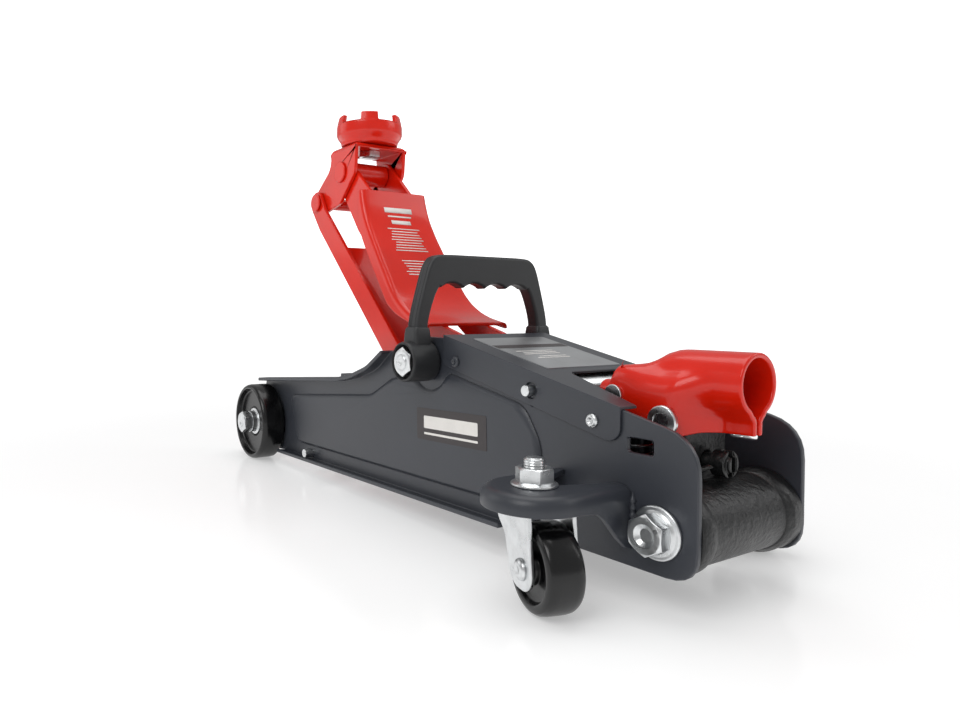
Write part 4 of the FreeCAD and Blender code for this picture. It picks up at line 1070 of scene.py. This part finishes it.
class JACK_OT_power_unit(bpy.types.Operator):
    """Casting, reservoir, cylinder and ram"""
    bl_idname = "jack.power_unit"
    bl_label = "Power unit"
    bl_options = {"REGISTER", "UNDO"}

    def execute(self, context):
        skins(["power_unit_block"], cast_paint(), sizes().cast_edge, 3)
        skins(["oil_reservoir", "ram_cylinder"], cast_paint(), 0.8 * MM)
        skins(["release_valve"], cast_paint(), 0.5 * MM, 3)
        skins(["ram_gland_nut", "piston_rod", "pump_plunger"], turned_steel(),
              sizes().pin_edge)
        self.collars()
        self.lugs()
        return {"FINISHED"}

    def collars(self):
        """Cast collars where the cross tube meets the side plates."""
        profile = [(17.0, 27.0), (18.6, 27.4), (19.2, 28.4), (19.6, 30.0), (20.2, 31.5),
                   (20.3, 33.0), (20.3, 38.6), (19.8, 39.3), (17.0, 39.3), (17.0, 27.0)]
        for name, side in (("left", LEFT), ("right", RIGHT)):
            collar = lathe(profile, middle("rear_flange_bolts"), (0, side, 0), 64)
            collar = object_from(collar, "cast_collar_" + name, cast_paint())
            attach(collar, "frame")

    def lugs(self):
        """Two curled lugs cast on the cross tube, that guard the release valve."""
        centre = middle("rear_flange_bolts") / MM
        for name, y, lean in (("left", -10.0, -1.0), ("right", 10.0, 1.0)):
            rows = []
            for i in range(12):
                share = i / 11
                turn = math.radians(118 - 34 * share)
                reach = 16.5 + 10.0 * share
                mid = Vector((centre.x + reach * math.cos(turn),
                              y + lean * 2.4 * math.sin(math.pi * share),
                              centre.z + reach * math.sin(turn)))
                size = 3.6 - 1.5 * share ** 2
                rows.append([mid + Vector((x, y, 0)) for x, y in
                             ellipse(size * 1.15, size, 14)])
            foot, tip = [row[0].lerp(row[7], 0.5) for row in (rows[0], rows[-1])]
            rows = [[foot] * 15] + rows + [[tip + UP * 1.2] * 15]
            lug = object_from(skin_through(rows), "cast_lug_" + name, cast_paint())
            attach(lug, "frame")


class JACK_OT_springs(bpy.types.Operator):
    """Two return springs and the pump spring, as wound wire"""
    bl_idname = "jack.springs"
    bl_label = "Springs"
    bl_options = {"REGISTER", "UNDO"}

    ARM_DOWN_SHARE = 0.602  # of a return spring's reach is left with the arm down
    STROKE_SHARE = 0.379  # of the pump spring's height is left at full stroke

    def execute(self, context):
        wire = sizes().spring_wire
        low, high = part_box("return_springs")
        # a leaning spring's box is 2.6 mm longer and 8.6 mm taller than its middle line
        lean = Vector((high[0] - low[0], 0, high[2] - low[2] - 8.6 * MM))
        for side in (LEFT, RIGHT):
            y = side * (high[1] - 4.4 * MM)
            start = Vector((low[0] + 1.2 * MM, y, low[2] + 4.5 * MM))
            end = start + lean.normalized() * (lean.x - 2.6 * MM)
            turns = int((end - start).length * self.ARM_DOWN_SHARE / (wire * 1.08))
            spring = coil("return_spring", start, end, 3.6 * MM, wire, turns, zinc_plate(), 6,
                          16)
            stand_for(spring, "return_springs")
            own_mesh(spring)
        low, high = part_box("pump_spring")
        foot = middle("pump_spring")
        start = Vector((foot.x, foot.y, low[2] + 0.8 * MM))
        end = Vector((foot.x, foot.y, high[2] - 0.8 * MM))
        spring = coil("pump_coil", start, end, 6.6 * MM, 1.6 * MM, 7, zinc_plate(), 10, 28)
        stand_for(spring, "pump_spring")
        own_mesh(spring)
        return {"FINISHED"}


class JACK_OT_socket(bpy.types.Operator):
    """Handle socket: one sheet, folded from a yoke into a tube with a pinched keel"""
    bl_idname = "jack.socket"
    bl_label = "Handle socket"
    bl_options = {"REGISTER", "UNDO"}

    # distances in mm behind the socket pivot, heights in mm above it
    ROOF = [(-38.3, 16.6), (-33.0, 17.4), (-31.8, 19.2), (-30.2, 23.4), (-28.6, 24.6),
            (-21.0, 25.6), (-17.0, 26.8), (-13.0, 29.4), (-10.0, 31.6), (-6.0, 32.9),
            (-2.0, 33.3), (32.0, 33.3)]
    BOTTOM = [(-38.3, 4.2), (-34.0, 2.6), (-26.0, 0.8), (-20.0, -3.4), (-14.0, -7.2),
              (-7.0, -9.2), (0.0, -9.2), (6.0, -7.0), (11.5, -4.9), (32.0, -4.4)]
    STATIONS = [-38.3, -37.6, -36.0, -33.6, -32.6, -31.6, -30.8, -29.8, -28.6, -26.0, -22.0,
                -18.0, -14.0, -10.0, -6.0, -3.0, 0.0, 3.0, 5.0, 7.0, 9.0, 11.0, 13.0, 15.0,
                17.0, 19.0, 22.0, 25.0, 28.0, 30.5, 32.0]
    AXIS = 18.7
    TUBE = 14.6
    YOKE_HALF = 22.0
    POINTS = 34

    def execute(self, context):
        rows = [self.section(back) for back in self.STATIONS]
        sheet = object_from(skin_through(rows), "socket_sheet", red_powder_coat())
        thicken(sheet, 2.5 * MM, -UP)
        stand_for(rounded(sheet, 0.8 * MM, 3, 45), "handle_socket")
        return {"FINISHED"}

    def section(self, back):
        """Half a section as a yoke and as a tube, blended along the socket."""
        roof = table_value(self.ROOF, back)
        bottom = table_value(self.BOTTOM, back)
        corner = min(7.0, 0.45 * (roof - bottom))
        yoke = [(0, roof)] + arc((self.YOKE_HALF - corner, roof - corner), corner, 90, 0, 8)
        yoke += [(self.YOKE_HALF, bottom)]
        tube = arc((0, self.AXIS), self.TUBE, 90, -62.0, 24)
        edge_y, edge_z = tube[-1]
        tube += [(0.62 * edge_y + 1.2, edge_z - 2.0), (3.5, edge_z - 3.6), (3.4, bottom)]
        yoke, tube = [resampled([Vector((y, z, 0)) for y, z in line], self.POINTS)
                      for line in (yoke, tube)]
        early = smooth_step((back + 25.0) / 19.0)
        late = smooth_step((back - 2.0) / 17.0)
        half = []
        for i, (a, b) in enumerate(zip(yoke, tube)):
            share = early + (late - early) * smooth_step((i - 9) / 12)
            half.append(a.lerp(b, share))
        lift = roof - half[0].y
        half = [Vector((p.x, p.y + lift * smooth_step(1 - i / 20.0), 0))
                for i, p in enumerate(half)]
        x = SOCKET.x / MM + back
        z = SOCKET.z / MM
        right = [(x, p.x, z + p.y) for p in reversed(half)]
        return right + [(x, -y, height) for x, y, height in reversed(right[:-1])]


class JACK_OT_carry_handle(bpy.types.Operator):
    """Carry handle: one moulding with finger scallops, grooved legs and deep bosses"""
    bl_idname = "jack.carry_handle"
    bl_label = "Carry handle"
    bl_options = {"REGISTER", "UNDO"}

    # (mm from the middle, mm above the pivot)
    OUTER = [(57.6, 9.0), (57.6, 16.0), (57.2, 27.0), (51.4, 47.0), (46.6, 62.0),
             (41.5, 67.6), (33.0, 68.4), (16.0, 68.4), (0.0, 68.4)]
    INNER = [(47.8, 9.0), (47.8, 16.0), (47.2, 27.0), (41.4, 43.0), (38.0, 47.6)]
    FINGER = 18.6
    UNDER = 46.6
    HALF = 5.25
    POINTS = 90

    def execute(self, context):
        outer = resampled(softened([Vector((y, z)) for y, z in self.OUTER]), self.POINTS)
        leg = softened([Vector((y, z)) for y, z in self.INNER])
        grip = [Vector((y, self.scallop(y))) for y in (37.0 - 37.0 * i / 59 for i in range(60))]
        inner = resampled(leg + grip, self.POINTS)
        rows = []
        for i, (a, b) in enumerate(zip(outer, inner)):
            groove = 1.1 * smooth_step(i / 6 - 0.6) * smooth_step((52 - i) / 10)
            rows.append(self.section(a, b, groove))
        rows += [[(x, -y, z) for x, y, z in row] for row in reversed(rows[:-1])]
        pieces = [skin_through(rows)]
        for side in (LEFT, RIGHT):
            pieces += [self.boss(side), self.sleeve(side)]
        handle = joined("handle_moulding", moulded_plastic(), pieces)
        stand_for(rounded(handle, 0.5 * MM, 2, 34), "carry_handle")
        return {"FINISHED"}

    def scallop(self, y):
        """Underside of the grip: hollows for four fingers between three cusps."""
        return self.UNDER + 3.4 * abs(math.sin(math.pi * y / self.FINGER)) ** 0.8

    def section(self, a, b, groove):
        """A rounded bar between an outer and an inner point."""
        run = a - b
        half, deep = self.HALF, run.length / 2
        corner = 2.3
        x0, z0 = PIVOT.x / MM, PIVOT.z / MM
        flat = []
        for x, d, start in ((half, deep, 0), (-half, deep, 90), (-half, -deep, 180),
                            (half, -deep, 270)):
            centre = (x - math.copysign(corner, x), d - math.copysign(corner, d))
            flat += arc(centre, corner, start, start + 90, 4)
            if start == 0:
                flat += [(2.6, deep), (1.8, deep - groove), (-1.8, deep - groove),
                         (-2.6, deep)]
        flat.append(flat[0])
        centre = (a + b) / 2
        across = run.normalized()
        return [(x0 + x, centre.x + across.x * d, z0 + centre.y + across.y * d)
                for x, d in flat]

    def boss(self, side):
        """Deep round boss with a recess for the nut."""
        inner, outer = 43.6, 64.7
        profile = [(8.06, inner), (11.8, inner), (12.6, inner + 0.8), (12.8, inner + 2.0),
                   (12.8, outer - 2.2), (12.3, outer - 0.8), (11.4, outer),
                   (11.0, outer - 0.3), (10.7, outer - 1.2), (10.6, outer - 8.2),
                   (8.06, outer - 8.2), (8.06, inner)]
        return lathe(profile, PIVOT, (0, side, 0), 64)

    def sleeve(self, side):
        """Thicker foot where a leg grows out of its boss."""
        rows = []
        for height, grow in ((8.2, 1.7), (12.0, 1.8), (17.0, 1.5), (20.5, 1.1), (22.0, 0.2)):
            a = Vector((57.5 + grow, height))
            b = Vector((47.9 - grow, height))
            half = self.HALF + grow
            outline = rounded_outline([(-half, b.x, 2.6), (half, b.x, 2.6),
                                       (half, a.x, 2.6), (-half, a.x, 2.6)], 4)
            row = [(PIVOT.x / MM + p.x, side * p.y, PIVOT.z / MM + height) for p in outline]
            rows.append(row + row[:1])
        low, high = [(PIVOT.x / MM, side * 52.7, PIVOT.z / MM + h) for h in (8.2, 22.0)]
        return skin_through([[low] * len(rows[0])] + rows + [[high] * len(rows[0])])


class JACK_OT_labels(bpy.types.Operator):
    """Blank labels and plain printed bars"""
    bl_idname = "jack.labels"
    bl_label = "Labels"
    bl_options = {"REGISTER", "UNDO"}

    INK = 0.06    # mm

    def execute(self, context):
        self.cover_label()
        self.side_label()
        self.arm_print()
        return {"FINISHED"}

    def arm_print(self):
        """Plain bars printed on the arm plate, in place of its notice."""
        plate = JACK_OT_arm
        line = plate.top_points()
        bars = [(150.0, 146.0, 13.0), (143.5, 142.3, 11.0), (139.5, 136.0, 9.0)]
        bars += [(132.0 - 2.6 * k, 131.2 - 2.6 * k, 15.0 - (k * 7 % 4)) for k in range(9)]
        bars += [(101.0 - 2.6 * k, 100.2 - 2.6 * k, 14.0 - (k * 5 % 4)) for k in range(6)]
        for i, (high, low, half) in enumerate(bars):
            rows = []
            for along in (high, (high + low) / 2, low):
                point, square = plate.on_top(line, along)
                rows.append([plate.in_world(point + square * 0.36) + Vector((0, y, 0))
                             for y in (-half, 0, half)])
            bar = object_from(skin_through(rows), "arm_print_%d" % i, print_ink())
            thicken(bar, self.INK * MM, ABOVE)
            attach(bar, "arm")

    def slab(self, name, material, corners, place, thick):
        """A thin sheet with rounded corners; place turns (across, up, out) to 3-D."""
        outline = rounded_outline(corners, 4)
        bm = bmesh.new()
        face = bm.faces.new([bm.verts.new(place(p.x, p.y, 0) * MM) for p in outline])
        made = bmesh.ops.extrude_face_region(bm, geom=[face])
        up = (place(0, 0, thick) - place(0, 0, 0)) * MM
        raised = [v for v in made["geom"] if isinstance(v, bmesh.types.BMVert)]
        bmesh.ops.translate(bm, verts=raised, vec=up)
        bmesh.ops.recalc_face_normals(bm, faces=bm.faces)
        return object_from(bm, name, material, smooth=False)

    def cover_label(self):
        """Brushed foil with one dark band and faint print lines across it."""
        low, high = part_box("cover_label")
        front = Vector((low[0], 0, high[2])) / MM
        back = Vector((high[0], 0, low[2] + 0.4 * MM)) / MM
        run = (back - front).normalized()
        square = Vector((-run.z, 0, run.x))

        def place(x, y, out):
            return front + run * x + Vector((0, y, 0)) + square * (out - 0.42)

        reach = (back - front).length
        sheet = [(0, -30, 1.5), (reach, -30, 1.5), (reach, 30, 1.5), (0, 30, 1.5)]
        foil = self.slab("foil", brushed_foil(), sheet, place, 0.4)
        stand_for(foil, "cover_label")
        dark = [(17.0, -29.2, 0.5), (23.5, -29.2, 0.5), (23.5, 29.2, 0.5), (17.0, 29.2, 0.5)]

        def above(x, y, out):
            return place(x, y, out + 0.41)

        band = self.slab("foil_band", label_film(), dark, above, self.INK)
        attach(band, body_of("cover_label"))
        lines = ((30.0, 22.0), (33.0, 19.0), (36.0, 21.0), (41.0, 14.0), (44.0, 18.0))
        for i, (x, span) in enumerate(lines):
            bar = [(x, -span, 0.3), (x + 0.9, -span, 0.3), (x + 0.9, 8.0, 0.3),
                   (x, 8.0, 0.3)]
            line = self.slab("foil_line_%d" % i, print_ink(), bar, above, 0.05)
            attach(line, body_of("cover_label"))

    def side_label(self):
        """Dark film plates on the pressed panels, with two plain bars."""
        tilt = math.radians(2.0)
        for side in (LEFT, RIGHT):
            def place(x, z, out):
                turned_x = x * math.cos(tilt) - z * math.sin(tilt)
                turned_z = x * math.sin(tilt) + z * math.cos(tilt)
                return Vector((268.0 - BACK + turned_x, side * (44.62 + out),
                               63.8 + turned_z))

            sheet = [(-33.5, -10.2, 1.2), (33.5, -10.2, 1.2), (33.5, 10.2, 1.2),
                     (-33.5, 10.2, 1.2)]
            film = self.slab("side_film", label_film(), sheet, place,
                             sizes().label_thick / MM)
            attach(film, "frame")
            for name, low, high in (("wide", -2.6, 5.4), ("narrow", -6.6, -5.2)):
                bar = [(-26.0, low, 1.0), (26.0, low, 1.0), (26.0, high, 1.0),
                       (-26.0, high, 1.0)]

                def proud(x, z, out):
                    return place(x, z, out + 0.16)

                mark = self.slab("side_bar_" + name, print_ink(), bar, proud, self.INK)
                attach(mark, "frame")


class JACK_OT_stage(bpy.types.Operator):
    """Pale sweep, soft studio light and the camera"""
    bl_idname = "jack.stage"
    bl_label = "Stage"
    bl_options = {"REGISTER", "UNDO"}

    def execute(self, context):
        self.sweep()
        self.lights()
        self.camera(context)
        return {"FINISHED"}

    def sweep(self):
        """Round floor, and a bright wall that only the camera sees."""
        floor = lathe([(0, 0), (600, 0), (2500, 0), (5200, 0)], Vector(), UP, 96)
        if floor.faces[0].normal.z < 0:
            bmesh.ops.reverse_faces(floor, faces=floor.faces)
        object_from(floor, "studio_sweep", studio_floor())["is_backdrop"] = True
        profile = [(5000 + x, 1200 + z) for x, z in arc((0, 0), 1200, -90, 0, 12)]
        wall = lathe(profile + [(6200, 5500)], Vector((0, 0, -0.01)), UP, 96)
        wall = object_from(wall, "studio_wall", studio_wall())
        wall.visible_diffuse = False
        wall.visible_glossy = False
        wall.visible_shadow = False
        wall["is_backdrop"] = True

    def lights(self):
        """An even world and four soft area lamps."""
        world = bpy.data.worlds.new("studio")
        world.use_nodes = True
        back = world.node_tree.nodes["Background"]
        back.inputs["Color"].default_value = srgb("#FFFFFF") + [1.0]
        back.inputs["Strength"].default_value = 0.42
        bpy.context.scene.world = world
        lamps = [("key", (0.5, -1.3, 1.3), 0.9, 9.0), ("fill", (-1.3, -1.1, 0.8), 1.0, 3.0),
                 ("top", (-0.1, 0.1, 1.5), 1.1, 7.0), ("rim", (0.9, 1.2, 1.0), 0.8, 4.0)]
        for name, place, width, power in lamps:
            lamp = bpy.data.lights.new(name, "AREA")
            lamp.size = width
            lamp.energy = power
            holder = bpy.data.objects.new(name, lamp)
            holder.location = place
            aim = Vector((0, 0, 0.1)) - holder.location
            holder.rotation_euler = aim.to_track_quat("-Z", "Y").to_euler()
            bpy.context.scene.collection.objects.link(holder)

    def camera(self, context):
        """A close, low camera behind the jack's left rear corner."""
        data = bpy.data.cameras.new("camera")
        data.sensor_width = 36.0
        data.lens = 26.51
        data.shift_x = 0.1345
        data.shift_y = -0.030
        data.clip_start = 0.01
        holder = bpy.data.objects.new("camera", data)
        holder.location = Vector((409.9, -319.6, 134.6)) * MM
        yaw = 1.031
        dip = 0.026
        look = Vector((-math.sin(yaw) * math.cos(dip), math.cos(yaw) * math.cos(dip),
                       -math.sin(dip)))
        holder.rotation_euler = look.to_track_quat("-Z", "Y").to_euler()
        context.scene.collection.objects.link(holder)
        context.scene.camera = holder
        context.scene.view_settings.view_transform = "Standard"


class JACK_PT_panel(bpy.types.Panel):
    """Lists the jack's operators and settings"""
    bl_idname = "JACK_PT_panel"
    bl_label = "Floor jack"
    bl_space_type = "VIEW_3D"
    bl_region_type = "UI"
    bl_category = "Floor jack"

    def draw(self, context):
        """Buttons for the operators, then the settings."""
        for operator in OPERATORS:
            self.layout.operator(operator.bl_idname)
        for settings in (context.scene.jack_sizes, context.scene.jack_colours):
            for name in settings.__annotations__:
                self.layout.prop(settings, name)


OPERATORS = (JACK_OT_frame, JACK_OT_fasteners, JACK_OT_wheels, JACK_OT_casters, JACK_OT_arm,
             JACK_OT_link, JACK_OT_saddle, JACK_OT_power_unit, JACK_OT_springs,
             JACK_OT_socket, JACK_OT_carry_handle, JACK_OT_labels, JACK_OT_stage)
CLASSES = (JackSizes, JackColours) + OPERATORS + (JACK_PT_panel,)


def register():
    """Add the classes, and the settings of the scene."""
    for cls in CLASSES:
        bpy.utils.register_class(cls)
    bpy.types.Scene.jack_sizes = bpy.props.PointerProperty(type=JackSizes)
    bpy.types.Scene.jack_colours = bpy.props.PointerProperty(type=JackColours)


def unregister():
    """Take away what register added."""
    del bpy.types.Scene.jack_sizes
    del bpy.types.Scene.jack_colours
    for cls in reversed(CLASSES):
        bpy.utils.unregister_class(cls)


def main():
    """Register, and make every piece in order."""
    register()
    for operator in OPERATORS:
        group, name = operator.bl_idname.split(".")
        getattr(getattr(bpy.ops, group), name)()
    boxes = {"cad": CAD_BOX, "visual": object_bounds()}
    plain = {key: [list(corner) for corner in box] for key, box in boxes.items()}


if __name__ == "__main__":
    main()
